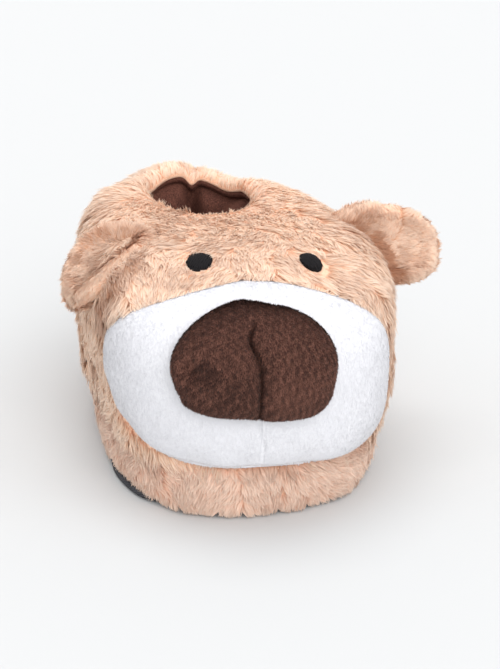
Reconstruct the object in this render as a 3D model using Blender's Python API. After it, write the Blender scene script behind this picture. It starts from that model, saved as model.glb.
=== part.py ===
"""Plush bear-face slipper, one shoe, as the separate pieces a maker would put together.

The shoe stands on Z = 0 with its toe towards -Y. Every outer piece is laid out on one skin:
a floor outline that swells to a widest outline and closes in to the collar. A place on the
skin is an angle round the plan (-90 degrees is the toe) and a level: 0 is the floor, 1 is
the widest outline and 2 is the rim of the collar.
"""
import math

import bpy
import numpy as np

# driving sizes in metres
FLOOR_FRONT = 0.121
FLOOR_REAR = 0.122
FLOOR_HALF = 0.0610
FLOOR_POWER = 2.45
WIDE_REACH = 0.129
WIDE_HALF = 0.0700
WIDE_POWER = 2.55
WIDE_HEIGHT = 0.070
TOE_TAPER = 0.21
COLLAR_BACK = 0.035
COLLAR_REACH = 0.050
COLLAR_HALF = 0.0325
COLLAR_POWER = 2.1
COLLAR_HEIGHT = 0.1250
COLLAR_TILT = 0.0028
CROWN_POWER = 3.5
CROWN_HEEL_LESS = 0.175
CROWN_ENDS_LESS = 0.925

GAP = 0.0004
SOLE_THICK = 0.0045
SOLE_LEVEL = 0.20
TOE_SPRING = 0.0022
ARCH_RELIEF = 0.0012
FOOTBED_TOP = 0.019
FOOTBED_ROUND = 0.0015
BAND_TOP = 0.027
BAND_WALL = 0.008
UPPER_WALL = 0.009
RIM_ROUND = 0.0045
LOCK_UPPER = 0.0058
LOCK_BAND = 0.0050
LOCK_EAR = 0.0036

MUZZLE_TURN = -93.6
MUZZLE_WIDE_RIGHT = 57.0
MUZZLE_WIDE_LEFT = 45.0
MUZZLE_LEVEL = 1.00
MUZZLE_UP = 0.575
MUZZLE_DOWN = 0.40
MUZZLE_POWER_UP = 1.6
MUZZLE_POWER_DOWN = 2.1
MUZZLE_EDGE = 0.0016
MUZZLE_BULGE = 0.0085

NOSE_TURN = -97.3
NOSE_WIDE = 17.9
NOSE_LEVEL = 1.125
NOSE_UP = 0.234
NOSE_DOWN = 0.207
NOSE_POWER_UP = 2.04
NOSE_POWER_DOWN = 3.2
NOSE_LEAN = 0.0029
NOSE_EDGE = 0.0042
NOSE_BULGE = 0.0105
NOSE_CREASE = 0.0026
NOSTRIL_DEPTH = 0.0032

EYE_LIFT = 0.0030
EYE_DOME = 0.0012

EAR_HALF = 0.0215
EAR_LENGTH = 0.053
EAR_THICK = 0.0080
EAR_CUP = 0.0050

AROUND = 80
MUZZLE_AROUND = 44
NOSE_AROUND = 36
EYE_AROUND = 18
EAR_AROUND = 28

# eyes: angle, level, half length, half height, tilt in degrees, all on the skin
EYES = {
    "eye_right": (-109.0, 1.668, 0.0090, 0.0066, 73.0),
    "eye_left": (-70.1, 1.606, 0.0078, 0.0063, 98.0),
}

# ears: root centre, direction of the tip, facing direction, bend out along the facing
EARS = {
    "ear_left": ((0.060, -0.037, 0.1130), (0.985, -0.04, -0.13), (-0.08, -0.86, 0.50), 0.0020),
    "ear_right": ((-0.048, -0.036, 0.1235), (-0.79, -0.20, -0.58), (-0.55, -0.25, 0.80), 0.0060),
}

FUR = (0.80, 0.56, 0.42, 1.0)
FUR_BAND = (0.74, 0.50, 0.38, 1.0)
FUR_EAR = (0.72, 0.47, 0.34, 1.0)
VELBOA_WHITE = (0.85, 0.85, 0.88, 1.0)
VELBOA_BROWN = (0.085, 0.040, 0.033, 1.0)
THREAD_BLACK = (0.025, 0.022, 0.022, 1.0)
LINING_BROWN = (0.070, 0.032, 0.028, 1.0)
SOLE_GREY = (0.035, 0.035, 0.038, 1.0)


def signed_power(a, p):
    """Power of the size of a, with the sign of a kept."""
    return np.sign(a) * np.abs(a) ** p


def outline(phi, front, rear, half, taper, power, centre_y):
    """Egg-shaped plan: a superellipse whose width tapers from toe to heel."""
    across = signed_power(np.cos(phi), 2.0 / power)
    along = signed_power(np.sin(phi), 2.0 / power)
    x = half * (1.0 - taper * along) * across
    y = centre_y + np.where(along > 0.0, rear, front) * along
    return x, y


def collar_top(y):
    """Height of the collar's rim, which rises a little towards the heel."""
    return COLLAR_HEIGHT + COLLAR_TILT * (y - COLLAR_BACK) / COLLAR_REACH


def skin(phi, level):
    """Point of the shoe's cloth skin at an angle and a level."""
    phi, level = np.broadcast_arrays(np.asarray(phi, float), np.asarray(level, float))
    fx, fy = outline(phi, FLOOR_FRONT, FLOOR_REAR, FLOOR_HALF, TOE_TAPER, FLOOR_POWER, 0.0)
    wx, wy = outline(phi, WIDE_REACH, WIDE_REACH, WIDE_HALF, TOE_TAPER, WIDE_POWER, 0.0)
    cx, cy = outline(phi, COLLAR_REACH, COLLAR_REACH, COLLAR_HALF, 0.0, COLLAR_POWER, COLLAR_BACK)
    low = np.clip(level, 0.0, 1.0) * math.pi / 2.0
    high = np.clip(level - 1.0, 0.0, 1.0) * math.pi / 2.0
    power = CROWN_POWER - CROWN_HEEL_LESS * np.sin(phi) - CROWN_ENDS_LESS * np.sin(phi) ** 2
    swell = np.sin(low)
    close = 1.0 - np.maximum(np.cos(high), 1e-9) ** (2.0 / power)
    rise = np.sin(high) ** (2.0 / power)
    under = level < 1.0
    x = np.where(under, fx + (wx - fx) * swell, wx + (cx - wx) * close)
    y = np.where(under, fy + (wy - fy) * swell, wy + (cy - wy) * close)
    z_low = WIDE_HEIGHT * (1.0 - np.cos(low))
    z_high = WIDE_HEIGHT + (collar_top(cy) - WIDE_HEIGHT) * rise
    return np.stack([x, y, np.where(under, z_low, z_high)], -1)


def skin_normal(phi, level, step=2e-3):
    """Outward direction of the skin, from differences along both ways."""
    level = np.clip(level, step, 2.0 - step)
    du = skin(phi + step, level) - skin(phi - step, level)
    dv = skin(phi, level + step) - skin(phi, level - step)
    n = np.cross(du, dv)
    return n / np.maximum(np.linalg.norm(n, axis=-1, keepdims=True), 1e-12)


def place(phi, level, lift):
    """Point of the skin moved out by lift."""
    lift = np.asarray(lift, float)[..., None]
    return skin(phi, level) + skin_normal(phi, level) * lift


def level_at(z):
    """Level below the widest outline at which the skin is z high."""
    return math.acos(1.0 - z / WIDE_HEIGHT) * 2.0 / math.pi


def scatter(i, j):
    """Repeatable number between 0 and 1 for a cell of a grid."""
    v = math.sin(12.9898 * i + 78.233 * j) * 43758.5453
    return v - math.floor(v)


def finish(name, points, faces, colour, roughness, metal=0.0):
    """Make a closed mesh object with outward faces and its own material."""
    points = np.asarray(points, float)
    volume = 0.0
    for f in faces:
        a = points[f[0]]
        for b, c in zip(f[1:-1], f[2:]):
            volume += float(np.dot(a, np.cross(points[b], points[c])))
    if volume < 0.0:
        faces = [tuple(reversed(f)) for f in faces]
    mesh = bpy.data.meshes.new(name)
    mesh.from_pydata([tuple(float(c) for c in p) for p in points], [], faces)
    mesh.update()
    material = bpy.data.materials.new(name + "_material")
    material.use_nodes = True
    shader = material.node_tree.nodes["Principled BSDF"]
    shader.inputs["Base Color"].default_value = colour
    shader.inputs["Roughness"].default_value = roughness
    shader.inputs["Metallic"].default_value = metal
    mesh.materials.append(material)
    piece = bpy.data.objects.new(name, mesh)
    bpy.context.collection.objects.link(piece)
    return piece


def wall_faces(rows, around, wrap):
    """Quads between rows of a closed loop; wrap joins the last row to the first."""
    faces = []
    last = rows if wrap else rows - 1
    for r in range(last):
        a, b = r * around, ((r + 1) % rows) * around
        for i in range(around):
            k = (i + 1) % around
            faces.append((a + i, a + k, b + k, b + i))
    return faces


def raise_locks(points, faces, locks):
    """Turn chosen faces into slanted pyramids: the locks of pile fused to the cloth."""
    points = [np.asarray(p, float) for p in points]
    out = []
    for n, f in enumerate(faces):
        if n not in locks:
            out.append(f)
            continue
        height, out_way, slant_way = locks[n]
        corners = np.array([points[k] for k in f])
        side = np.linalg.norm(corners - corners.mean(0), axis=1).min()
        apex = corners.mean(0) + height * out_way + 0.42 * side * slant_way
        points.append(apex)
        tip = len(points) - 1
        for a, b in zip(f, f[1:] + f[:1]):
            out.append((a, b, tip))
    return points, out


def unit(v):
    """Vector scaled to length one."""
    v = np.asarray(v, float)
    return v / np.linalg.norm(v)


def muzzle_gauge(phi, level):
    """Share of the way from the middle of the muzzle (0) to its edge (1)."""
    turn = np.degrees(phi) - MUZZLE_TURN
    turn = (turn + 180.0) % 360.0 - 180.0
    du = np.abs(turn) / np.where(turn < 0.0, MUZZLE_WIDE_RIGHT, MUZZLE_WIDE_LEFT)
    rise = level - MUZZLE_LEVEL
    dv = np.abs(rise) / np.where(rise > 0.0, MUZZLE_UP, MUZZLE_DOWN)
    p = np.where(rise > 0.0, MUZZLE_POWER_UP, MUZZLE_POWER_DOWN)
    return (du ** p + dv ** p) ** (1.0 / p)


def muzzle_lift(phi, level):
    """Height of the muzzle's outer side over the skin."""
    k = np.clip(muzzle_gauge(phi, level), 0.0, 1.0)
    return MUZZLE_EDGE + MUZZLE_BULGE * (1.0 - k ** 2.4) ** 0.75


def nose_lift(phi, level, k):
    """Height of the nose over the skin: a dome with a middle crease and one nostril."""
    dome = NOSE_EDGE + NOSE_BULGE * np.sqrt(np.maximum(1.0 - k ** 2.2, 0.0))
    turn = np.degrees(phi) - NOSE_TURN
    crease_turn = 2.9 - 1.9 * np.exp(-((level - NOSE_LEVEL - 0.065) / 0.05) ** 2)
    reach = np.clip((NOSE_LEVEL + 0.14 - level) / 0.06, 0.0, 1.0)
    crease = NOSE_CREASE * reach * np.exp(-((turn - crease_turn) / 1.9) ** 2)
    away = ((turn + 12.4) / 2.4) ** 2 + ((level - NOSE_LEVEL + 0.025) / 0.045) ** 2
    return dome - crease - NOSTRIL_DEPTH * np.exp(-away)


def pad_outline(t, wide_minus, wide_plus, up, down, power_up, power_down):
    """Edge of a pad round its middle, as steps in angle (degrees) and level."""
    c, s = np.cos(t), np.sin(t)
    p = np.where(s > 0.0, power_up, power_down)
    across = signed_power(c, 2.0 / p) * np.where(c < 0.0, wide_minus, wide_plus)
    along = signed_power(s, 2.0 / p) * np.where(s > 0.0, up, down)
    return across, along


def pad(name, middle, edge, around, shares, top_lift, base_lift, colour, roughness):
    """Closed pad on the skin: rings of the outer side, then rings of the side that backs on."""
    turn, level = middle
    t = np.arange(around) * 2.0 * math.pi / around
    across, along = edge(t)
    rows, points = 0, []
    for k in shares:
        phi = np.radians(turn + across * k)
        points.extend(place(phi, level + along * k, top_lift(phi, level + along * k, k)))
        rows += 1
    for k in reversed(shares):
        phi = np.radians(turn + across * k)
        points.extend(place(phi, level + along * k, base_lift(phi, level + along * k)))
        rows += 1
    faces = wall_faces(rows, around, False)
    phi0, level0 = np.array([math.radians(turn)]), np.array([level])
    points.extend(place(phi0, level0, top_lift(phi0, level0, 0.0)))
    points.extend(place(phi0, level0, base_lift(phi0, level0)))
    top, base = len(points) - 2, len(points) - 1
    last = (rows - 1) * around
    for i in range(around):
        k = (i + 1) % around
        faces.append((k, i, top))
        faces.append((last + i, last + k, base))
    return finish(name, points, faces, colour, roughness)


def blocked(point, phi, level):
    """True where no lock may stand: under the muzzle, an eye or an ear."""
    if float(muzzle_gauge(phi, level)) < 1.13:
        return True
    for turn, eye_level, half, _height, _tilt in EYES.values():
        eye = skin(math.radians(turn), eye_level)
        if np.linalg.norm(point - eye) < half + 0.0075:
            return True
    for root, tip_way, facing, _bend in EARS.values():
        a = unit(tip_way)
        n = unit(np.asarray(facing) - np.dot(facing, a) * a)
        rel = point - np.asarray(root)
        along, off = float(np.dot(rel, a)), float(np.dot(rel, n))
        wide = float(np.dot(rel, np.cross(n, a)))
        if -0.013 < along < EAR_LENGTH + 0.004 and abs(wide) < EAR_HALF + 0.008 and abs(off) < 0.03:
            return True
    return False


def make_outsole():
    """Anti-slip sole: flat heel and ball, toe spring, relieved arch on both edges."""
    phi = np.arange(AROUND) * 2.0 * math.pi / AROUND
    edge = skin(phi, SOLE_LEVEL)[:, :2]
    points = []
    for share in (0.30, 0.62, 0.86, 0.965):
        for x, y in edge * share:
            points.append((x, y, under_lift(x, y)))
    for share, z in ((1.0, 0.0012), (1.0, SOLE_THICK)):
        for x, y in edge * share:
            points.append((x, y, max(z, under_lift(x, y) + 0.0008) if z < SOLE_THICK else z))
    for share in (0.86, 0.45):
        for x, y in edge * share:
            points.append((x, y, SOLE_THICK))
    faces = wall_faces(8, AROUND, False)
    faces.append(tuple(reversed(range(AROUND))))
    faces.append(tuple(range(7 * AROUND, 8 * AROUND)))
    return finish("outsole", points, faces, SOLE_GREY, 0.9)


def under_lift(x, y):
    """Height of the sole's underside over the floor."""
    spring = TOE_SPRING * min(max((-y - 0.082) / 0.038, 0.0), 1.0) ** 2
    heel = 0.0008 * min(max((y - 0.108) / 0.014, 0.0), 1.0)
    waist = math.exp(-((y - 0.012) / 0.030) ** 2)
    waist = 0.0 if waist < 0.12 else waist
    return spring + heel + ARCH_RELIEF * waist * min(max((abs(x) - 0.022) / 0.024, 0.0), 1.0)


def make_insole():
    """Padded footbed that fills the ring of the band, with a rounded top edge."""
    phi = np.arange(AROUND) * 2.0 * math.pi / AROUND
    inset = -(BAND_WALL + GAP)
    points = []
    zs = (SOLE_THICK + GAP, 0.011, FOOTBED_TOP - FOOTBED_ROUND)
    rings = [place(phi, level_at(z), np.full(AROUND, inset)) for z in zs]
    for ring, z in zip(rings, zs):
        for x, y, _ in ring:
            points.append((x, y, z))
    for x, y, _ in rings[-1]:
        points.append((x * 0.975, y * 0.986, FOOTBED_TOP))
    faces = wall_faces(4, AROUND, False)
    faces.append(tuple(reversed(range(AROUND))))
    faces.append(tuple(range(3 * AROUND, 4 * AROUND)))
    return finish("insole", points, faces, LINING_BROWN, 0.95)


def make_band():
    """Fur ring round the footbed, between the sole and the upper, with drooping locks."""
    phi = np.arange(AROUND) * 2.0 * math.pi / AROUND
    heights = np.linspace(SOLE_THICK + GAP, BAND_TOP, 5)
    points = []
    for z in heights:
        ring = skin(phi, level_at(z))
        points.extend((x, y, z) for x, y, _ in ring)
    for z in (BAND_TOP, 0.016, SOLE_THICK + GAP):
        ring = place(phi, level_at(z), np.full(AROUND, -BAND_WALL))
        points.extend((x, y, z) for x, y, _ in ring)
    faces = wall_faces(8, AROUND, True)
    locks = {}
    for r in range(4):
        level = level_at(0.5 * (heights[r] + heights[r + 1]))
        for i in range(AROUND):
            if (i + r) % 2:
                continue
            mid = phi[i] + math.pi / AROUND
            out_way = skin_normal(np.array([mid]), np.array([level]))[0]
            out_way = unit((out_way[0], out_way[1], out_way[2] * 0.4))
            tall = LOCK_BAND * (0.6 + 0.4 * scatter(i, r))
            locks[r * AROUND + i] = (tall, out_way, np.array((0.0, 0.0, -1.0)))
    points, faces = raise_locks(points, faces, locks)
    return finish("sole_band", points, faces, FUR_BAND, 0.95)


def upper_levels():
    """Levels of the outer rows of the upper, closest where it turns over."""
    start = level_at(BAND_TOP + GAP)
    low = np.linspace(start, 1.0, 4)[:-1]
    high = 1.0 + np.array((0.0, 0.17, 0.33, 0.47, 0.60, 0.73, 0.86, 1.0))
    return np.concatenate([low, high])


def make_upper():
    """Hollow fur shell: outer side up to the collar, rolled rim, inner side down again."""
    phi = np.arange(AROUND) * 2.0 * math.pi / AROUND
    outer = upper_levels()
    points = []
    for n, level in enumerate(outer):
        ring = skin(phi, level)
        if n == 0:
            ring[:, 2] = BAND_TOP + GAP
        points.extend(ring)
    rows = len(outer)
    for turn in (45.0, 90.0, 135.0):
        inset = RIM_ROUND * math.sin(math.radians(turn))
        drop = RIM_ROUND * (1.0 - math.cos(math.radians(turn)))
        x, y = outline(phi, COLLAR_REACH - inset, COLLAR_REACH - inset, COLLAR_HALF - inset,
                       0.0, COLLAR_POWER, COLLAR_BACK)
        points.extend(np.stack([x, y, collar_top(y) - drop], -1))
        rows += 1
    inner = (1.97, 1.72, 1.47, 1.22, 0.95, outer[0])
    for n, level in enumerate(inner):
        ring = place(phi, level, np.full(AROUND, -UPPER_WALL))
        if n == len(inner) - 1:
            ring[:, 2] = BAND_TOP + GAP
        points.extend(ring)
        rows += 1
    faces = wall_faces(rows, AROUND, True)
    locks = {}
    for r in range(len(outer) - 1):
        level = 0.5 * (outer[r] + outer[r + 1])
        for i in range(AROUND):
            if (i + r) % 2:
                continue
            mid = phi[i] + math.pi / AROUND
            here = skin(mid, level)
            if blocked(here, mid, level) or scatter(i + 7, r + 3) < 0.12:
                continue
            out_way = skin_normal(np.array([mid]), np.array([level]))[0]
            down = unit(skin(mid, level - 0.02) - here)
            tall = LOCK_UPPER * (0.55 + 0.45 * scatter(i, r))
            locks[r * AROUND + i] = (tall, out_way, down)
    points, faces = raise_locks(points, faces, locks)
    return finish("upper", points, faces, FUR, 0.95)


def make_muzzle():
    """Domed short-pile panel over the toe, cut from the upper's own skin."""
    def edge(t):
        return pad_outline(t, MUZZLE_WIDE_RIGHT, MUZZLE_WIDE_LEFT, MUZZLE_UP, MUZZLE_DOWN,
                           MUZZLE_POWER_UP, MUZZLE_POWER_DOWN)
    return pad("muzzle", (MUZZLE_TURN, MUZZLE_LEVEL), edge, MUZZLE_AROUND,
               (0.14, 0.28, 0.42, 0.56, 0.70, 0.82, 0.92, 0.98, 1.0),
               lambda phi, level, k: muzzle_lift(phi, level),
               lambda phi, level: np.full(np.shape(phi), GAP + 0.0001), VELBOA_WHITE, 0.9)


def make_nose():
    """Stuffed nose pad on the muzzle."""
    def edge(t):
        across, along = pad_outline(t, NOSE_WIDE, NOSE_WIDE, NOSE_UP, NOSE_DOWN,
                                    NOSE_POWER_UP, NOSE_POWER_DOWN)
        return across, along - NOSE_LEAN * across * np.where(along < 0.0, 1.0, 0.3)
    return pad("nose", (NOSE_TURN, NOSE_LEVEL), edge, NOSE_AROUND,
               (0.12, 0.24, 0.36, 0.48, 0.60, 0.72, 0.83, 0.92, 0.98, 1.0),
               lambda phi, level, k: muzzle_lift(phi, level) + nose_lift(phi, level, k),
               lambda phi, level: muzzle_lift(phi, level) + GAP, VELBOA_BROWN, 0.9)


def make_eye(name):
    """Thin embroidered oval on the forehead."""
    turn, level, half, tall, tilt = EYES[name]
    phi0, level0 = np.array([math.radians(turn)]), np.array([level])
    step = 1e-3
    per_turn = np.linalg.norm(skin(phi0 + step, level0) - skin(phi0 - step, level0)) / (2.0 * step)
    per_level = np.linalg.norm(skin(phi0, level0 + step) - skin(phi0, level0 - step)) / (2.0 * step)
    lean = math.radians(tilt)

    def edge(t):
        x, y = half * np.cos(t), tall * np.sin(t)
        u = x * math.cos(lean) - y * math.sin(lean)
        v = x * math.sin(lean) + y * math.cos(lean)
        return np.degrees(u / per_turn), v / per_level
    return pad(name, (turn, level), edge, EYE_AROUND, (0.55, 1.0),
               lambda phi, lev, k: np.full(np.shape(phi), EYE_LIFT + EYE_DOME * (1.0 - k * k)),
               lambda phi, lev: np.full(np.shape(phi), GAP + 0.0002), THREAD_BLACK, 0.6)


def make_ear_cutter():
    """Body of the skin with a small gap, used to trim the roots of the ears."""
    phi = np.arange(AROUND) * 2.0 * math.pi / AROUND
    levels = upper_levels()
    points = []
    for level in levels:
        points.extend(place(phi, level, np.full(AROUND, GAP)))
    faces = wall_faces(len(levels), AROUND, False)
    faces.append(tuple(reversed(range(AROUND))))
    last = (len(levels) - 1) * AROUND
    faces.append(tuple(range(last, last + AROUND)))
    cutter = finish("ear_cutter", points, faces, FUR, 0.9)
    cutter.hide_render = True
    cutter.display_type = "WIRE"
    return cutter


def make_ear(name, cutter):
    """Cupped round ear pad with short locks along its rim, trimmed to the skin."""
    root, tip_way, facing, bend = EARS[name]
    a = unit(tip_way)
    n = unit(np.asarray(facing) - np.dot(facing, a) * a)
    w = np.cross(n, a)
    t = np.arange(EAR_AROUND) * 2.0 * math.pi / EAR_AROUND
    wide = signed_power(np.cos(t), 2.0 / 2.3) * EAR_HALF
    tall = signed_power(np.sin(t), 2.0 / 2.3) * EAR_LENGTH * 0.56

    def spot(k, side, count):
        along = EAR_LENGTH * 0.44 + tall[:count] * k
        across = wide[:count] * k
        share = np.clip(along / EAR_LENGTH, 0.0, 1.0)
        thick = EAR_THICK * 0.5 * (1.0 - 0.45 * k ** 4) * side
        cup = EAR_CUP * (across / EAR_HALF) ** 2 + EAR_CUP * 0.5 * np.clip(share - 0.6, 0, 1) ** 2
        arch = bend * 4.0 * share * (1.0 - share)
        out = thick + cup + arch
        p = np.asarray(root) + a * along[:, None] + w * across[:, None]
        return p + n * np.asarray(out)[:, None]

    points, rows = [], 0
    plan = ((0.35, 1), (0.68, 1), (0.93, 1), (1.0, 0), (0.93, -1), (0.50, -1))
    for k, side in plan:
        points.extend(spot(k, side, EAR_AROUND))
        rows += 1
    faces = wall_faces(rows, EAR_AROUND, False)
    points.append(spot(0.0, 1, 1)[0])
    points.append(spot(0.0, -1, 1)[0])
    top, base = len(points) - 2, len(points) - 1
    last = (rows - 1) * EAR_AROUND
    for i in range(EAR_AROUND):
        k = (i + 1) % EAR_AROUND
        faces.append((k, i, top))
        faces.append((last + i, last + k, base))
    middle = np.asarray(root) + a * EAR_LENGTH * 0.44
    locks = {}
    for r in (1, 2, 3, 4):
        for i in range(EAR_AROUND):
            if (i + r) % 2:
                continue
            f = faces[r * EAR_AROUND + i]
            centre = np.mean([points[c] for c in f], axis=0)
            if np.dot(centre - np.asarray(root), a) < 0.016:
                continue
            side = 1.0 if r < 3 else -1.0
            rim_way = unit(centre - middle - n * np.dot(centre - middle, n))
            out_way = unit(rim_way + n * side * 0.8)
            locks[r * EAR_AROUND + i] = (LOCK_EAR * (0.7 + 0.3 * scatter(i, r)), out_way, rim_way)
    points, faces = raise_locks(points, faces, locks)
    ear = finish(name, points, faces, FUR_EAR, 0.95)
    trim = ear.modifiers.new("trim", "BOOLEAN")
    trim.operation = "DIFFERENCE"
    trim.solver = "EXACT"
    trim.object = cutter
    return ear


def main():
    """Clear the scene and build every piece of the shoe."""
    for old in list(bpy.data.objects):
        bpy.data.objects.remove(old, do_unlink=True)
    make_outsole()
    make_insole()
    make_band()
    make_upper()
    make_muzzle()
    make_nose()
    for name in EYES:
        make_eye(name)
    cutter = make_ear_cutter()
    for name in EARS:
        make_ear(name, cutter)


main()
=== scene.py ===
"""Plush bear-face slipper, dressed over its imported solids.

The shoe is laid out on one last. A place on the last is an angle round the plan, where -90
degrees is the toe, and a level: 0 is the floor outline, 1 the widest outline, 2 the start of
the collar's roll and 2.5 its inner side. All sizes are in metres.
"""
from __future__ import annotations

import logging
import math
from dataclasses import dataclass, field
from enum import Enum
from typing import Callable

import bpy
import numpy as np
from mathutils import Matrix, Vector
from mathutils.kdtree import KDTree

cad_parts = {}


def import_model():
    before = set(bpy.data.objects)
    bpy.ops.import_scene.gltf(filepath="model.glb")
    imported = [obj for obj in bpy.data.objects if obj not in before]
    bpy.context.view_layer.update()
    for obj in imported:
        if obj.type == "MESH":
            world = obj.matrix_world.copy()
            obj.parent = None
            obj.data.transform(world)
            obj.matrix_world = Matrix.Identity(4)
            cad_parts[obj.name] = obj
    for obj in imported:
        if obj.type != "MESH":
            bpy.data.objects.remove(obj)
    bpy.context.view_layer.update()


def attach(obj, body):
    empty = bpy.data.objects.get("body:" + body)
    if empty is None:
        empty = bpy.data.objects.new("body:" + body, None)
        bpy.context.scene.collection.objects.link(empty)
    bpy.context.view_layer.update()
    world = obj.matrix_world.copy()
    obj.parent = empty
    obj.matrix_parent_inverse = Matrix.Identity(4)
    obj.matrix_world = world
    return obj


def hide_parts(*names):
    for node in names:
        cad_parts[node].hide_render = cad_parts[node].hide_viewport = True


LOG = logging.getLogger("slipper")
UV_NAME = "OFBake"
# Half the width of a fibre in its UV map, where its tone runs across.
TONE_SPREAD = 0.006
Array = np.ndarray
Colour = tuple[float, float, float]


# Small tools


def signed_power(a: Array, p: Array | float) -> Array:
    """Power of the size of a, with the sign of a kept."""
    return np.sign(a) * np.abs(a) ** p


def unit_rows(v: Array) -> Array:
    """Vectors along the last axis scaled to length one."""
    return v / np.maximum(np.linalg.norm(v, axis=-1, keepdims=True), 1e-12)


def smooth_step(x: Array, low: float, high: float) -> Array:
    """Rises smoothly from 0 at low to 1 at high: 3t^2 - 2t^3."""
    t = np.clip((x - low) / (high - low), 0.0, 1.0)
    return t * t * (3.0 - 2.0 * t)


def bell(x: Array, middle: Array | float, width: float, power: int = 2) -> Array:
    """Bell curve: 1 at the middle, and e to the minus (distance / width)^power away from it."""
    return np.exp(-((x - middle) / width) ** power)


def half_turned(deg: Array) -> Array:
    """Angles in degrees brought to between -180 and 180."""
    return (deg + 180.0) % 360.0 - 180.0


def round_angles(count: int) -> Array:
    """Even angles round a full turn, in radians."""
    return np.arange(count) * 2.0 * math.pi / count


def waves(points: Array, size: float, seed: int, count: int = 7) -> Array:
    """Smooth field between about -1 and 1: a mean of sines along random directions.

    Args:
        points: places, in metres, on the last axis.
        size: wave length in metres.
        seed: picks the directions and phases.
        count: number of sines.

    Returns:
        One value for each place.
    """
    rng = np.random.default_rng(seed)
    ways = unit_rows(rng.normal(size=(count, 3))) * (2.0 * math.pi / size)
    ways *= rng.uniform(0.6, 1.5, (count, 1))
    phases = rng.uniform(0.0, 2.0 * math.pi, count)
    return np.sin(points @ ways.T + phases).sum(-1) / math.sqrt(count * 0.5) * 0.6


def linear(red: int, green: int, blue: int) -> Colour:
    """Scene-linear colour from a display colour of 0 to 255."""
    def one(c: float) -> float:
        """One channel: the display curve undone."""
        c = c / 255.0
        return c / 12.92 if c <= 0.04045 else ((c + 0.055) / 1.055) ** 2.4
    return one(red), one(green), one(blue)


# Meshes


@dataclass
class Sheet:
    """Arrays of one mesh: points, faces of three and four corners, and corner UVs."""

    points: Array
    quads: Array | None = None
    tris: Array | None = None
    quad_uv: Array | None = None
    tri_uv: Array | None = None
    normals: Array | None = None

    def make(self, name: str, material: bpy.types.Material, smooth: bool = True) -> bpy.types.Object:
        """Make the mesh object.

        Args:
            name: name of the piece.
            material: finish of the whole piece.
            smooth: whether faces are shaded smooth.

        Returns:
            The linked object, at the origin.
        """
        quads = np.zeros((0, 4), np.int32) if self.quads is None else self.quads
        tris = np.zeros((0, 3), np.int32) if self.tris is None else self.tris
        corners = np.concatenate([quads.reshape(-1), tris.reshape(-1)]).astype(np.int32)
        starts = np.concatenate([np.arange(len(quads)) * 4, len(quads) * 4 + np.arange(len(tris)) * 3])
        mesh = bpy.data.meshes.new(name)
        mesh.vertices.add(len(self.points))
        mesh.vertices.foreach_set("co", np.asarray(self.points, np.float32).reshape(-1))
        mesh.loops.add(len(corners))
        mesh.loops.foreach_set("vertex_index", corners)
        mesh.polygons.add(len(starts))
        mesh.polygons.foreach_set("loop_start", starts.astype(np.int32))
        if self.quad_uv is not None or self.tri_uv is not None:
            parts = [u.reshape(-1, 2) for u in (self.quad_uv, self.tri_uv) if u is not None]
            layer = mesh.uv_layers.new(name=UV_NAME)
            layer.data.foreach_set("uv", np.concatenate(parts).astype(np.float32).reshape(-1))
        mesh.update(calc_edges=True)
        mesh.polygons.foreach_set("use_smooth", np.full(len(starts), smooth))
        if self.normals is not None:
            mesh.normals_split_custom_set_from_vertices(self.normals.astype(np.float32))
        mesh.materials.append(material)
        piece = bpy.data.objects.new(name, mesh)
        bpy.context.scene.collection.objects.link(piece)
        return piece


def ring_quads(rows: int, around: int, wrap: bool, start: int = 0) -> Array:
    """Quads between rows of closed rings, seen from outside with rows going up.

    Args:
        rows: number of rings.
        around: points on each ring.
        wrap: whether the last ring joins the first.
        start: index of the first point.

    Returns:
        Corner numbers, one row of four for each face.
    """
    r = np.arange(rows if wrap else rows - 1)[:, None]
    i = np.arange(around)[None, :]
    k = (i + 1) % around
    a, b = r * around, ((r + 1) % rows) * around
    return (np.stack([a + i, a + k, b + k, b + i], -1) + start).reshape(-1, 4)


def fan(ring: Array, middle: int) -> Array:
    """Triangles from a ring of corner numbers to one middle point."""
    return np.stack([ring, np.roll(ring, -1), np.full(len(ring), middle)], -1)


def hoop(rings: list[Array]) -> Sheet:
    """Closed sheet of rings whose last ring joins the first."""
    return Sheet(np.concatenate(rings), ring_quads(len(rings), len(rings[0]), True))


def capped(rings: list[Array], first: Array | Colour, last: Array | Colour) -> Sheet:
    """Closed sheet of rings with a fan of triangles at both ends.

    Args:
        rings: rings of points, all with the same number.
        first: middle point of the fan that closes the first ring.
        last: middle point of the fan that closes the last ring.

    Returns:
        The closed sheet.
    """
    around = len(rings[0])
    points = np.concatenate([*rings, np.reshape(first, (1, 3)), np.reshape(last, (1, 3))])
    ring = np.arange(around)
    tris = np.concatenate([fan(ring[::-1], len(points) - 2),
                           fan(ring + (len(rings) - 1) * around, len(points) - 1)])
    return Sheet(points, ring_quads(len(rings), around, False), tris)


def join(sheets: list[Sheet]) -> Sheet:
    """Put several sheets with the same kinds of arrays into one."""
    offset = np.cumsum([0] + [len(s.points) for s in sheets[:-1]])

    def stack(name: str, shift: bool) -> Array | None:
        """One kind of array from every sheet, with corner numbers moved on."""
        parts = [getattr(s, name) + (o if shift else 0) for s, o in zip(sheets, offset)
                 if getattr(s, name) is not None]
        return np.concatenate(parts) if parts else None
    return Sheet(np.concatenate([s.points for s in sheets]), stack("quads", True), stack("tris", True),
                 stack("quad_uv", False), stack("tri_uv", False))


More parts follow.
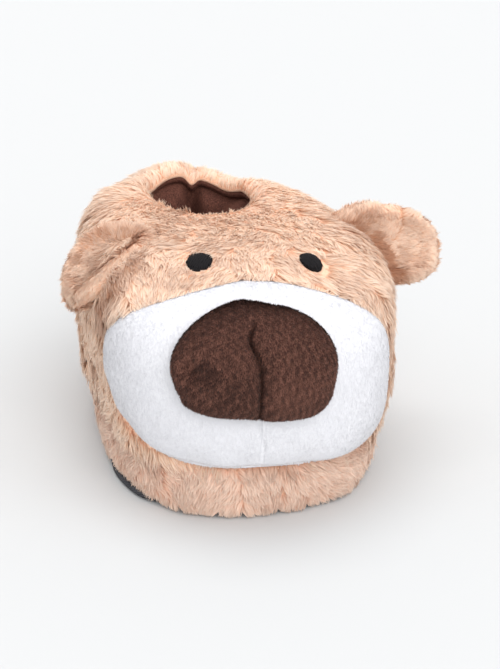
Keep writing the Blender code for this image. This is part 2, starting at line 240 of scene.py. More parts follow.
def face_out(piece: bpy.types.Object) -> bpy.types.Object:
    """Turn a closed mesh the right way out when its signed volume is negative."""
    mesh = piece.data
    mesh.calc_loop_triangles()
    tri = np.zeros(len(mesh.loop_triangles) * 3, np.int32)
    mesh.loop_triangles.foreach_get("vertices", tri)
    co = np.zeros(len(mesh.vertices) * 3, np.float32)
    mesh.vertices.foreach_get("co", co)
    p = co.reshape(-1, 3)[tri.reshape(-1, 3)].astype(float)
    if np.einsum("ij,ij->i", p[:, 0], np.cross(p[:, 1], p[:, 2])).sum() < 0.0:
        mesh.flip_normals()
    return piece


# Finishes


class Nodes:
    """Short way to wire one material."""

    def __init__(self, name: str) -> None:
        """Start an empty node material with its shader and output."""
        self.material = bpy.data.materials.new(name)
        self.material.use_nodes = True
        self.tree = self.material.node_tree
        self.shader = self.tree.nodes["Principled BSDF"]

    def add(self, kind: str, **values: object) -> bpy.types.Node:
        """Add a node and set its properties."""
        node = self.tree.nodes.new(kind)
        for key, value in values.items():
            setattr(node, key, value)
        return node

    def link(self, start: bpy.types.NodeSocket, end: bpy.types.NodeSocket) -> None:
        """Join two sockets."""
        self.tree.links.new(start, end)

    def object_place(self, scale: tuple[float, float, float]) -> bpy.types.NodeSocket:
        """Object coordinates through a scale."""
        place = self.add("ShaderNodeTexCoord")
        mapping = self.add("ShaderNodeMapping")
        mapping.inputs["Scale"].default_value = scale
        self.link(place.outputs["Object"], mapping.inputs["Vector"])
        return mapping.outputs["Vector"]

    def noise(self, place: bpy.types.NodeSocket, scale: float, detail: float = 3.0) -> bpy.types.NodeSocket:
        """Noise factor at a place."""
        noise = self.add("ShaderNodeTexNoise")
        noise.inputs["Scale"].default_value = scale
        noise.inputs["Detail"].default_value = detail
        self.link(place, noise.inputs["Vector"])
        return noise.outputs["Fac"]

    def ramp(self, fac: bpy.types.NodeSocket, stops: list[tuple[float, Colour]]) -> bpy.types.NodeSocket:
        """Colour ramp over a factor."""
        ramp = self.add("ShaderNodeValToRGB")
        band = ramp.color_ramp
        while len(band.elements) < len(stops):
            band.elements.new(0.5)
        for element, (place, colour) in zip(band.elements, stops):
            element.position = place
            element.color = (*colour, 1.0)
        self.link(fac, ramp.inputs["Fac"])
        return ramp.outputs["Color"]

    def multiply(self, a: bpy.types.NodeSocket, b: bpy.types.NodeSocket) -> bpy.types.NodeSocket:
        """Two colours multiplied."""
        mix = self.add("ShaderNodeMix", data_type="RGBA", blend_type="MULTIPLY")
        mix.inputs["Factor"].default_value = 1.0
        self.link(a, mix.inputs["A"])
        self.link(b, mix.inputs["B"])
        return mix.outputs["Result"]

    def bump(self, height: bpy.types.NodeSocket, strength: float, distance: float) -> None:
        """Bump from a height on the shader's normal."""
        bump = self.add("ShaderNodeBump")
        bump.inputs["Strength"].default_value = strength
        bump.inputs["Distance"].default_value = distance
        self.link(height, bump.inputs["Height"])
        self.link(bump.outputs["Normal"], self.shader.inputs["Normal"])

    def let_through(self, colour: bpy.types.NodeSocket, share: float) -> None:
        """Mix in a shader of the same colour that passes light on to the far side."""
        back = self.add("ShaderNodeBsdfTranslucent")
        mix = self.add("ShaderNodeMixShader")
        mix.inputs["Fac"].default_value = share
        self.link(colour, back.inputs["Color"])
        self.link(self.shader.outputs["BSDF"], mix.inputs[1])
        self.link(back.outputs["BSDF"], mix.inputs[2])
        output = next(x for x in self.material.node_tree.nodes if x.type == "OUTPUT_MATERIAL")
        self.link(mix.outputs["Shader"], output.inputs["Surface"])

    def cloth(self, roughness: float, sheen: float, tint: Colour) -> None:
        """Set the shader as matt cloth with a soft sheen."""
        self.shader.inputs["Roughness"].default_value = roughness
        self.shader.inputs["Specular IOR Level"].default_value = 0.2
        self.shader.inputs["Sheen Weight"].default_value = sheen
        self.shader.inputs["Sheen Roughness"].default_value = 0.45
        self.shader.inputs["Sheen Tint"].default_value = (*tint, 1.0)


@dataclass(frozen=True)
class LongPile:
    """Fur fibres: darker at the root, as their own colour and as painted shade deep in the pile, pale at the
    tip, with a tone for each lock.
    """

    name: str
    root: Colour
    middle: Colour
    tip: Colour
    dark: Colour = (0.50, 0.32, 0.24)
    light: Colour = (1.0, 1.0, 1.0)
    sheen: float = 0.15
    through: float = 0.36

    def make(self) -> bpy.types.Material:
        """Wire the finish: colour by place along the fibre, times the fibre's tone, which holds the lock's
        own tone and painted shade and light.

        Thin fibres let a share of the light through, so their shaded sides stay warm.
        """
        n = Nodes(self.name)
        uv = n.add("ShaderNodeUVMap", uv_map=UV_NAME)
        split = n.add("ShaderNodeSeparateXYZ")
        n.link(uv.outputs["UV"], split.inputs["Vector"])
        along = n.ramp(split.outputs["Y"], [(0.0, self.root), (0.35, self.middle), (0.9, self.tip)])
        tone = n.ramp(split.outputs["X"], [(0.0, self.dark), (1.0, self.light)])
        colour = n.multiply(along, tone)
        n.link(colour, n.shader.inputs["Base Color"])
        n.cloth(0.75, self.sheen, (1.0, 0.9, 0.8))
        if self.through > 0.0:
            n.let_through(colour, self.through)
        return n.material


@dataclass(frozen=True)
class ShortPile:
    """Short napped cloth: fine grain over soft cloudy shading of the nap."""

    name: str
    deep: Colour
    plain: Colour
    bright: Colour
    grain: float = 1500.0
    nap: float = 70.0
    relief: float = 0.0006
    sheen: float = 0.5

    def make(self) -> bpy.types.Material:
        """Wire the finish: a ramp over fine noise and cloud noise, with bump."""
        n = Nodes(self.name)
        place = n.object_place((1.0, 1.0, 0.55))
        fine = n.noise(place, self.grain, 4.0)
        cloud = n.noise(place, self.nap, 3.0)
        mix = n.add("ShaderNodeMath", operation="MULTIPLY_ADD")
        n.link(fine, mix.inputs[0])
        mix.inputs[1].default_value = 0.7
        half = n.add("ShaderNodeMath", operation="MULTIPLY")
        n.link(cloud, half.inputs[0])
        half.inputs[1].default_value = 0.3
        n.link(half.outputs[0], mix.inputs[2])
        stops = [(0.32, self.deep), (0.5, self.plain), (0.7, self.bright)]
        n.link(n.ramp(mix.outputs[0], stops), n.shader.inputs["Base Color"])
        n.bump(fine, 0.7, self.relief)
        n.cloth(0.9, self.sheen, self.bright)
        return n.material


@dataclass(frozen=True)
class Thread:
    """Embroidery thread: fine twist bands along each stitch, their light colour a painted glint."""

    name: str
    colour: Colour
    bright: Colour

    def make(self) -> bpy.types.Material:
        """Wire the finish: thin light twists, painted glints, over a dark thread."""
        n = Nodes(self.name)
        place = n.object_place((1.0, 1.0, 1.0))
        wave = n.add("ShaderNodeTexWave")
        wave.inputs["Scale"].default_value = 700.0
        wave.inputs["Distortion"].default_value = 3.0
        n.link(place, wave.inputs["Vector"])
        n.link(n.ramp(wave.outputs["Fac"], [(0.3, self.colour), (0.95, self.bright)]),
               n.shader.inputs["Base Color"])
        n.bump(wave.outputs["Fac"], 0.4, 0.0002)
        n.cloth(0.6, 0.0, (0.6, 0.6, 0.65))
        n.shader.inputs["Specular IOR Level"].default_value = 0.06
        return n.material


@dataclass(frozen=True)
class GripCloth:
    """Woven anti-slip cloth or its moulded dots."""

    name: str
    colour: Colour
    bright: Colour
    roughness: float = 0.85

    def make(self) -> bpy.types.Material:
        """Wire the finish: a fine crossed weave with dust."""
        n = Nodes(self.name)
        place = n.object_place((1.0, 1.0, 1.0))
        weave = n.add("ShaderNodeTexWave", wave_type="BANDS", bands_direction="DIAGONAL")
        weave.inputs["Scale"].default_value = 420.0
        n.link(place, weave.inputs["Vector"])
        dust = n.noise(place, 160.0, 5.0)
        add = n.add("ShaderNodeMath", operation="MULTIPLY")
        n.link(weave.outputs["Fac"], add.inputs[0])
        n.link(dust, add.inputs[1])
        n.link(n.ramp(add.outputs[0], [(0.1, self.colour), (0.7, self.bright)]),
               n.shader.inputs["Base Color"])
        n.bump(weave.outputs["Fac"], 0.5, 0.0003)
        n.shader.inputs["Roughness"].default_value = self.roughness
        return n.material


@dataclass(frozen=True)
class Finishes:
    """Every finish of the shoe."""

    fur: LongPile = LongPile("fur", linear(246, 196, 160), linear(255, 226, 200), linear(255, 238, 222))
    band_fur: LongPile = LongPile("band_fur", linear(242, 190, 160), linear(255, 221, 198),
                                  linear(255, 235, 219))
    ear_fur: LongPile = LongPile("ear_fur", linear(236, 180, 144), linear(253, 216, 186),
                                 linear(255, 235, 217))
    fur_ground: ShortPile = ShortPile("fur_ground", linear(222, 172, 142), linear(232, 188, 160),
                                      linear(240, 202, 176), relief=0.0003, sheen=0.1)
    white: ShortPile = ShortPile("white_short_pile", linear(216, 216, 221), linear(220, 220, 224),
                                 linear(225, 225, 227), relief=0.0001, sheen=0.1)
    white_pile: LongPile = LongPile("white_pile", linear(216, 216, 221), linear(221, 221, 225),
                                    linear(226, 226, 228), (0.95, 0.95, 0.955), (1.0, 1.0, 1.0), 0.1, 0.0)
    brown: ShortPile = ShortPile("brown_short_pile", linear(51, 30, 26), linear(76, 49, 42),
                                 linear(106, 73, 60), relief=0.0008, sheen=0.05)
    brown_pile: LongPile = LongPile("brown_pile", linear(50, 29, 25), linear(78, 49, 42),
                                    linear(128, 88, 75), (0.40, 0.37, 0.36), (1.35, 1.32, 1.28), 0.04, 0.0)
    lining: ShortPile = ShortPile("lining", linear(57, 33, 28), linear(92, 56, 46), linear(122, 79, 66),
                                  relief=0.0009)
    thread: Thread = Thread("eye_thread", linear(12, 10, 11), linear(44, 42, 44))
    grip: GripCloth = GripCloth("grip_cloth", linear(38, 38, 42), linear(74, 74, 80))
    dots: GripCloth = GripCloth("grip_dots", linear(30, 30, 33), linear(46, 46, 50), 0.45)


# The form of the shoe


@dataclass(frozen=True)
class Outline:
    """Egg-shaped plan: a superellipse whose width tapers from toe to heel."""

    front: float
    rear: float
    half: float
    taper: float
    power: float
    centre: float = 0.0

    def at(self, phi: Array, inset: Array | float = 0.0) -> tuple[Array, Array]:
        """Plan place at an angle.

        x is (half - inset) (1 - taper s) c and y is centre + (reach - inset) s, where c and s
        are the signed powers 2 / power of the cosine and sine.

        Args:
            phi: angles round the plan.
            inset: distance that the outline is drawn in.

        Returns:
            Arrays x and y.
        """
        across = signed_power(np.cos(phi), 2.0 / self.power)
        along = signed_power(np.sin(phi), 2.0 / self.power)
        reach = np.where(along > 0.0, self.rear, self.front)
        x = (self.half - inset) * (1.0 - self.taper * along) * across
        return x, self.centre + (reach - inset) * along


@dataclass(frozen=True)
class Last:
    """The shoe's skin: floor outline, widest outline and collar joined by curves."""

    floor: Outline = Outline(0.121, 0.122, 0.0610, 0.21, 2.45)
    widest: Outline = Outline(0.129, 0.129, 0.0700, 0.21, 2.55)
    collar: Outline = Outline(0.050, 0.050, 0.0325, 0.0, 2.1, 0.035)
    widest_height: float = 0.070
    collar_height: float = 0.1250
    collar_tilt: float = 0.0028
    crown_power: float = 3.5
    heel_less: float = 0.175
    ends_less: float = 0.925
    rim_round: float = 0.0045
    rim_levels: float = 0.5
    left_full: float = 0.0062
    right_full: float = 0.0020
    right_tuck: float = 0.0050
    heel_sunk: float = 0.0100
    rim_raised: float = 0.0042
    pucker: float = 0.0046
    slump_deep: float = 0.0008

    def rim_top(self, y: Array) -> Array:
        """Height of the collar's rim at a place along the shoe."""
        return self.collar_height + self.collar_tilt * (y - self.collar.centre) / self.collar.front

    def skin(self, phi: Array, level: Array) -> Array:
        """Point of the skin.

        Below level 1 the plan goes from floor to widest with the sine of a quarter turn and
        the height with one minus its cosine. From 1 to 2 plan and height follow a quarter of
        a superellipse. Above 2 the rim rolls over on a small circle.

        Args:
            phi: angles round the plan.
            level: levels up the shoe.

        Returns:
            Points, with x, y and z on the last axis.
        """
        phi, level = np.broadcast_arrays(np.asarray(phi, float), np.asarray(level, float))
        fx, fy = self.floor.at(phi)
        wx, wy = self.widest.at(phi)
        turn = np.clip(level - 2.0, 0.0, self.rim_levels) / self.rim_levels * math.pi
        cx, cy = self.collar.at(phi)
        rx, ry = self.collar.at(phi, self.rim_round * np.sin(turn))
        low = np.clip(level, 0.0, 1.0) * math.pi / 2.0
        high = np.clip(level - 1.0, 0.0, 1.0) * math.pi / 2.0
        power = self.crown_power - self.heel_less * np.sin(phi) - self.ends_less * np.sin(phi) ** 2
        close = 1.0 - np.maximum(np.cos(high), 1e-9) ** (2.0 / power)
        rise = np.sin(high) ** (2.0 / power)
        swell = np.sin(low)
        under, over = level < 1.0, level > 2.0
        x = np.where(under, fx + (wx - fx) * swell, np.where(over, rx, wx + (cx - wx) * close))
        y = np.where(under, fy + (wy - fy) * swell, np.where(over, ry, wy + (cy - wy) * close))
        z_low = self.widest_height * (1.0 - np.cos(low))
        z_high = self.widest_height + (self.rim_top(cy) - self.widest_height) * rise
        z_rim = self.rim_top(ry) - self.rim_round * (1.0 - np.cos(turn))
        z = np.where(under, z_low, np.where(over, z_rim, z_high))
        full, sunk = self.settle(phi, level)
        return np.stack([x + full, y, z - sunk], -1)

    def settle(self, phi: Array, level: Array) -> tuple[Array, Array]:
        """How the worn cloth departs from the last: fuller flanks and a sunk heel.

        The flanks follow bell curves in angle and level, and the right one is drawn in low
        down in front. The heel sinks smoothly from level 1.2 up to the rim, least at 95
        degrees, with a narrow pucker in the rim at 80.

        Returns:
            Steps towards +X and downwards.
        """
        deg = half_turned(np.degrees(phi))
        left = self.left_full * bell(deg, -8.0, 42.0)
        right = self.right_full * bell(np.abs(deg), 180.0, 16.0)
        tuck = self.right_tuck * bell(deg, -163.0, 22.0) * bell(level, 0.70, 0.26)
        heel = smooth_step(np.sin(phi), 0.2, 0.75) * (1.08 - 0.74 * bell(deg, 95.0, 34.0))
        heel = heel + 0.48 * bell(deg, 24.0, 24.0)
        rim = smooth_step(level, 1.82, 2.0)
        sunk = self.heel_sunk * smooth_step(level, 1.22, 1.74) - self.rim_raised * rim
        pucker = self.pucker * bell(deg, 80.0, 6.0) * rim
        return bell(level, 1.08, 0.42) * (left - right) + tuck, heel * sunk + pucker

    def ways(self, phi: Array, level: Array, step: float = 2e-3) -> tuple[Array, Array]:
        """Directions out of the skin and down it, from differences along both ways."""
        level = np.clip(level, step, 2.0 + self.rim_levels - step)
        du = self.skin(phi + step, level) - self.skin(phi - step, level)
        dv = self.skin(phi, level + step) - self.skin(phi, level - step)
        return unit_rows(np.cross(du, dv)), -unit_rows(dv)

    def place(self, phi: Array, level: Array, lift: Array | float) -> Array:
        """Point of the skin moved out by lift."""
        out, _ = self.ways(phi, level)
        return self.skin(phi, level) + out * np.asarray(lift)[..., None]

    def level_at(self, z: float) -> float:
        """Level below the widest outline at which the skin is z high."""
        return math.acos(1.0 - z / self.widest_height) * 2.0 / math.pi

    def flat_ring(self, phi: Array, z: float, lift: float = 0.0) -> Array:
        """Ring of the skin at one height, moved out by lift and kept level."""
        ring = self.place(phi, self.level_at(z), lift)
        ring[:, 2] = z
        return ring

    def slump(self, points: Array) -> Array:
        """How far the soft skin sinks: between 0 and about 1.6 mm, in broad waves."""
        return self.slump_deep * (np.clip(waves(points, 0.055, 11), -1.0, 1.0) - 1.0)


@dataclass(frozen=True)
class PadPlan:
    """Edge of a pad on the last: a superellipse round a middle, in angle and level."""

    turn: float
    level: float
    wide_minus: float
    wide_plus: float
    up: float
    down: float
    powers: tuple[float, float, float, float]
    lean: float = 0.0
    steps: int = 12
    pace: float = 0.6

    def power(self, across: Array, along: Array) -> Array:
        """Superellipse power of each quarter: up minus, up plus, down minus, down plus."""
        upper = np.where(across < 0.0, self.powers[0], self.powers[1])
        return np.where(along > 0.0, upper, np.where(across < 0.0, self.powers[2], self.powers[3]))

    def share(self, across: Array, along: Array) -> Array:
        """How much of the lean each quarter takes."""
        plus = 0.3 + 0.6 * smooth_step(-along, 0.02, 0.14)
        return np.where(across > 0.0, plus, -0.2 + 0.3 * smooth_step(-along, 0.0, 0.09))

    def edge(self, t: Array) -> tuple[Array, Array]:
        """Steps in angle (degrees) and level from the middle to the edge.

        Along the way (c, s) the edge lies at 1 / (|c|^p + |s|^p)^(1/p) of the half sizes.
        """
        c, s = np.cos(t), np.sin(t)
        p = self.power(c, s)
        reach = (np.abs(c) ** p + np.abs(s) ** p) ** (-1.0 / p)
        across = reach * c * np.where(c < 0.0, self.wide_minus, self.wide_plus)
        along = reach * s * np.where(s > 0.0, self.up, self.down)
        return across, along - self.lean * across * self.share(across, along)

    def spot(self, t: Array, k: Array) -> tuple[Array, Array]:
        """Angle and level at share k of the way to the edge."""
        across, along = self.edge(t)
        return np.radians(self.turn + across * k), self.level + along * k

    def gauge(self, phi: Array, level: Array) -> Array:
        """Share of the way from the middle (0) to the edge (1).

        The lean is taken out by small steps towards the rise that gives the level asked for.
        """
        turn = half_turned(np.degrees(phi) - self.turn)
        asked = level - self.level
        rise = asked + np.zeros_like(turn)
        for _ in range(self.steps):
            rise = rise - self.pace * (rise - self.lean * turn * self.share(turn, rise) - asked)
        du = np.abs(turn) / np.where(turn < 0.0, self.wide_minus, self.wide_plus)
        dv = np.abs(rise) / np.where(rise > 0.0, self.up, self.down)
        p = self.power(turn, rise)
        return (du ** p + dv ** p) ** (1.0 / p)


# Fur


@dataclass(frozen=True)
class FurStyle:
    """How one coat of fur lies."""

    length: float = 0.0100
    width: float = 0.00078
    lift: float = 0.27
    lay: float = 0.03
    clump_gap: float = 0.0030
    lock_gap: float = 0.0095
    clump: float = 0.55
    stray: float = 0.0007
    swirl: float = 0.5
    ground: float = 0.0006


@dataclass
class Roots:
    """Where fibres start: places, outward ways and the ways they lie."""

    points: Array
    out: Array
    flow: Array
    length: Array
    tone: Array
    lift: Array | None = None

    def pick(self, which: Array) -> Roots:
        """The roots of a mask or of numbers."""
        lift = None if self.lift is None else self.lift[which]
        return Roots(self.points[which], self.out[which], self.flow[which], self.length[which],
                     self.tone[which], lift)


def turned(way: Array, axis: Array, angle: Array) -> Array:
    """Ways turned about their axes: v cos a + (n x v) sin a, for v square to n."""
    c, s = np.cos(angle)[:, None], np.sin(angle)[:, None]
    return way * c + np.cross(axis, way) * s


def nearest(points: Array, among: Array) -> Array:
    """Number of the nearest of among for each point."""
    tree = KDTree(len(among))
    for i, p in enumerate(among):
        tree.insert(p, i)
    tree.balance()
    return np.array([tree.find(p)[1] for p in points], np.int64)


def corner_uv(*corners: tuple[Array, float]) -> Array:
    """UVs of every fibre's corners: a tone for each fibre and one place along it."""
    return np.stack([np.stack([u, np.full(len(u), v)], -1) for u, v in corners], 1)


@dataclass
class FurCoat:
    """Grows joined tapered fibres in clumps and locks from given roots."""

    style: FurStyle
    seed: int

    def grow(self, roots: Roots) -> Sheet:
        """Grow the fibres.

        Each fibre is p(t) = root + length (a (t - t^2/2) + b t^2/2), where a is the way it
        starts and b the way it ends, drawn towards its clump's own middle fibre as t grows.
        The clumps lean, lift and shade with the larger lock that they belong to.

        Args:
            roots: where the fibres start.

        Returns:
            Strips with three segments each, with UVs of tone across and t along.
        """
        rng = np.random.default_rng(self.seed)
        style = self.style
        n = len(roots.points)
        area = self._area(roots)
        clumps = roots.pick(rng.choice(n, max(8, int(area / style.clump_gap ** 2)), replace=False))
        locks = roots.pick(rng.choice(n, max(4, int(area / style.lock_gap ** 2)), replace=False))
        m, k = len(clumps.points), len(locks.points)
        lock_of = nearest(clumps.points, locks.points)
        lock_turn = waves(locks.points, 0.05, self.seed + 3) * style.swirl + rng.normal(0.0, 0.22, k)
        lock_lift = rng.normal(0.0, 0.09, k)
        lock_tone = rng.normal(0.0, 0.07, k)
        away = clumps.points - locks.points[lock_of]
        c_flow = turned(clumps.flow, clumps.out, lock_turn[lock_of] + rng.normal(0.0, 0.18, m))
        c_flow = unit_rows(c_flow - away * (0.35 / style.lock_gap))
        base = np.full(m, style.lift) if clumps.lift is None else clumps.lift
        c_lift = base + lock_lift[lock_of] * base / 0.3 + rng.normal(0.0, 0.05, m)
        c_long = clumps.length * rng.uniform(0.85, 1.1, m) * (1.0 + 0.5 * lock_lift[lock_of])
        c_tone = clumps.tone + lock_tone[lock_of] + rng.normal(0.0, 0.06, m)
        c_end = style.lay + rng.normal(0.0, 0.08, m)
        own = nearest(roots.points, clumps.points)
        flow = turned(roots.flow, roots.out, lock_turn[lock_of][own] + rng.normal(0.0, 0.22, n))
        lift = c_lift[own] + rng.normal(0.0, 0.05, n)
        long = roots.length * rng.uniform(0.7, 1.1, n)
        stray = rng.normal(0.0, style.stray, (n, 3))
        t = np.array([0.0, 0.52, 1.0])
        a = unit_rows(roots.out * lift[:, None] + flow * (1.0 - lift)[:, None])
        b = unit_rows(roots.out * c_end[own][:, None] + flow)
        ca = unit_rows(clumps.out * c_lift[:, None] + c_flow * (1.0 - c_lift)[:, None])
        cb = unit_rows(clumps.out * c_end[:, None] + c_flow)
        t1, t2 = (t - t * t / 2.0)[None, :, None], (t * t / 2.0)[None, :, None]
        path = roots.points[:, None] + long[:, None, None] * (a[:, None] * t1 + b[:, None] * t2)
        guide = clumps.points[:, None] + c_long[:, None, None] * (ca[:, None] * t1 + cb[:, None] * t2)
        spread = (roots.points - clumps.points[own])[:, None] * (1.0 - 0.8 * t)[None, :, None]
        pull = (style.clump * t ** 1.2)[None, :, None]
        path = path * (1.0 - pull) + (guide[own] + spread) * pull + stray[:, None] * (t ** 2)[None, :, None]
        path[..., 2] = np.maximum(path[..., 2], style.ground)
        tone = np.clip(c_tone[own] + rng.normal(0.0, 0.05, n), 0.02, 0.98)
        width = style.width * rng.uniform(0.65, 1.25, n)
        sheet = self._strips(path, roots.out, width, tone, rng.uniform(-0.4, 0.4, n), t)
        soft = unit_rows(roots.out + flow * 0.15 + rng.normal(0.0, 0.16, (n, 3)))
        sheet.normals = np.repeat(soft, 2 * len(t) - 1, axis=0)
        return sheet

    @staticmethod
    def _area(roots: Roots) -> float:
        """Rough area of the coat: cells of 6 mm that hold a root, times three quarters of a face."""
        size, filled = 0.006, 0.75
        cells = np.unique(np.floor(roots.points / size).astype(np.int64), axis=0)
        return len(cells) * size ** 2 * filled

    @staticmethod
    def _strips(path: Array, out: Array, width: Array, tone: Array, roll: Array, t: Array) -> Sheet:
        """Give each fibre's line its width.

        Args:
            path: points of each fibre, root to tip.
            out: outward way at each root.
            width: width of each fibre at its root.
            tone: tone of each fibre, 0 to 1.
            roll: how far each strip is rolled about its line, in radians.
            t: share of the length at each point.

        Returns:
            The strips.
        """
        n, rows = len(path), len(t) - 1
        run = unit_rows(path[:, -1] - path[:, 0])
        side = unit_rows(np.cross(run, out))
        side = turned(side, run, roll)
        half = 0.5 * width[:, None, None] * side[:, None]
        pairs = np.stack([path[:, :rows] - half, path[:, :rows] + half], 2).reshape(n, rows * 2, 3)
        points = np.concatenate([pairs, path[:, -1:]], 1)
        per = rows * 2 + 1
        base = (np.arange(n) * per)[:, None, None]
        quads = base + np.array([[0, 1, 3, 2]])[None]
        tris = base + np.array([[2, 3, 4]])[None]
        low, high = tone - TONE_SPREAD, tone + TONE_SPREAD
        quad_uv = corner_uv((low, t[0]), (high, t[0]), (high, t[1]), (low, t[1]))
        tri_uv = corner_uv((low, t[1]), (high, t[1]), (tone, t[2]))
        return Sheet(points.reshape(-1, 3), quads.reshape(-1, 4), tris.reshape(-1, 3), quad_uv, tri_uv)


def nap(roots: Roots, width: float, seed: int, ruffle: float, rise: float) -> Sheet:
    """Short nap: one leaning triangle at each root, with UVs of tone across and 0 to 1 along."""
    rng = np.random.default_rng(seed)
    n = len(roots.points)
    along = roots.flow * rng.uniform(0.8, 1.4, (n, 1))
    way = unit_rows(roots.out * rise + along + rng.normal(0.0, 0.12, (n, 3)))
    side = unit_rows(np.cross(way, roots.out) + rng.normal(0.0, 0.2, (n, 3))) * width * 0.5
    tip = roots.points + way * (roots.length * rng.uniform(0.6, 1.1, n))[:, None]
    points = np.stack([roots.points - side, roots.points + side, tip], 1).reshape(-1, 3)
    tone = np.clip(roots.tone + rng.normal(0.0, 0.2, n), 0.02, 0.98)
    uv = corner_uv((tone - TONE_SPREAD, 0.0), (tone + TONE_SPREAD, 0.0), (tone, 1.0))
    soft = np.repeat(unit_rows(roots.out + rng.normal(0.0, ruffle, (n, 3))), 3, axis=0)
    return Sheet(points, None, np.arange(n * 3).reshape(-1, 3), None, uv, soft)


@dataclass
class SkinSampler:
    """Picks even random places on a region of the last."""

    last: Last
    seed: int
    cells_round: int = 720
    cells_up: int = 220

    def pick(self, count: int, low: float, high: float,
             keep: Callable[[Array, Array], Array]) -> tuple[Array, Array]:
        """Pick angles and levels, evenly by area.

        Args:
            count: number of places.
            low: lowest level.
            high: highest level.
            keep: says for angles and levels how likely a place is kept, 0 to 1.

        Returns:
            Angles and levels.
        """
        rng = np.random.default_rng(self.seed)
        phi = np.linspace(-math.pi, math.pi, self.cells_round + 1)
        level = np.linspace(low, high, self.cells_up + 1)
        grid = self.last.skin(phi[:, None], level[None, :])
        du, dv = grid[1:, :-1] - grid[:-1, :-1], grid[:-1, 1:] - grid[:-1, :-1]
        area = np.linalg.norm(np.cross(du, dv), axis=-1)
        mid_phi, mid_level = (phi[1:] + phi[:-1]) / 2.0, (level[1:] + level[:-1]) / 2.0
        pp, ll = np.meshgrid(mid_phi, mid_level, indexing="ij")
        weight = (area * keep(pp, ll)).reshape(-1)
        cell = rng.choice(len(weight), count, p=weight / weight.sum())
        i, j = np.divmod(cell, self.cells_up)
        u, v = rng.random(count), rng.random(count)
        return phi[i] + u * (phi[1] - phi[0]), level[j] + v * (level[1] - level[0])


# Pieces


@dataclass
class Shoe:
    """What every piece shares: the last, the finishes and where the pads lie."""

    last: Last = field(default_factory=Last)
    finishes: Finishes = field(default_factory=Finishes)
    muzzle: PadPlan = PadPlan(-93.6, 1.0, 63.0, 49.5, 0.566, 0.40, (1.42, 1.42, 2.1, 3.4), 0.0016)
    nose: PadPlan = PadPlan(-97.3, 1.125, 18.8, 18.7, 0.228, 0.197, (1.70, 2.0, 2.7, 1.85), 0.0066)
    muzzle_edge: float = 0.0016
    muzzle_bulge: float = 0.0085
    sole_thick: float = 0.0045
    band_top: float = 0.027
    gap: float = 0.0004
    bare_turn: float = -148.0
    bare_width: float = 17.0

    def bare(self, phi: Array) -> Array:
        """How far the band's fur is lifted off the sole: 1 at the right front corner."""
        return bell(half_turned(np.degrees(phi)), self.bare_turn, self.bare_width, 4)

    def muzzle_lift(self, phi: Array, level: Array) -> Array:
        """Height of the muzzle's outer side over the skin."""
        k = np.clip(self.muzzle.gauge(phi, level), 0.0, 1.0)
        return self.muzzle_edge + self.muzzle_bulge * (1.0 - k ** 2.4) ** 0.75


def dress(piece: bpy.types.Object, slot: str, *nodes: str) -> bpy.types.Object:
    """Let a piece ride on the shoe and stand for its solids."""
    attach(piece, "root")
    if nodes:
        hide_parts(*nodes)
    faces = len(piece.data.polygons)
    LOG.info("%s: %d faces, %d triangles", piece.name, faces, len(piece.data.loops) - 2 * faces)
    return piece


class Flank(Enum):
    """Parts of the upper's coat, each one piece, with the angles where they start and end."""

    FOREHEAD = (-150.0, -30.0)
    RIGHT = (125.0, 210.0)
    LEFT = (-30.0, 55.0)
    HEEL = (55.0, 125.0)

    def holds(self, phi: Array) -> Array:
        """Whether an angle belongs to this part."""
        start, end = self.value
        return (np.degrees(phi) - start) % 360.0 < end - start


@dataclass(frozen=True)
class PaintedShadeSpot:
    """Soft spot of painted shade in a coat: its middle, its reach and how much darker it is."""

    middle: tuple[float, float, float]
    reach: float
    depth: float

    def over(self, points: Array) -> Array:
        """How much darker the tone is at each point."""
        away = (points - np.asarray(self.middle)) / self.reach
        return self.depth * np.exp(-(away ** 2).sum(-1))


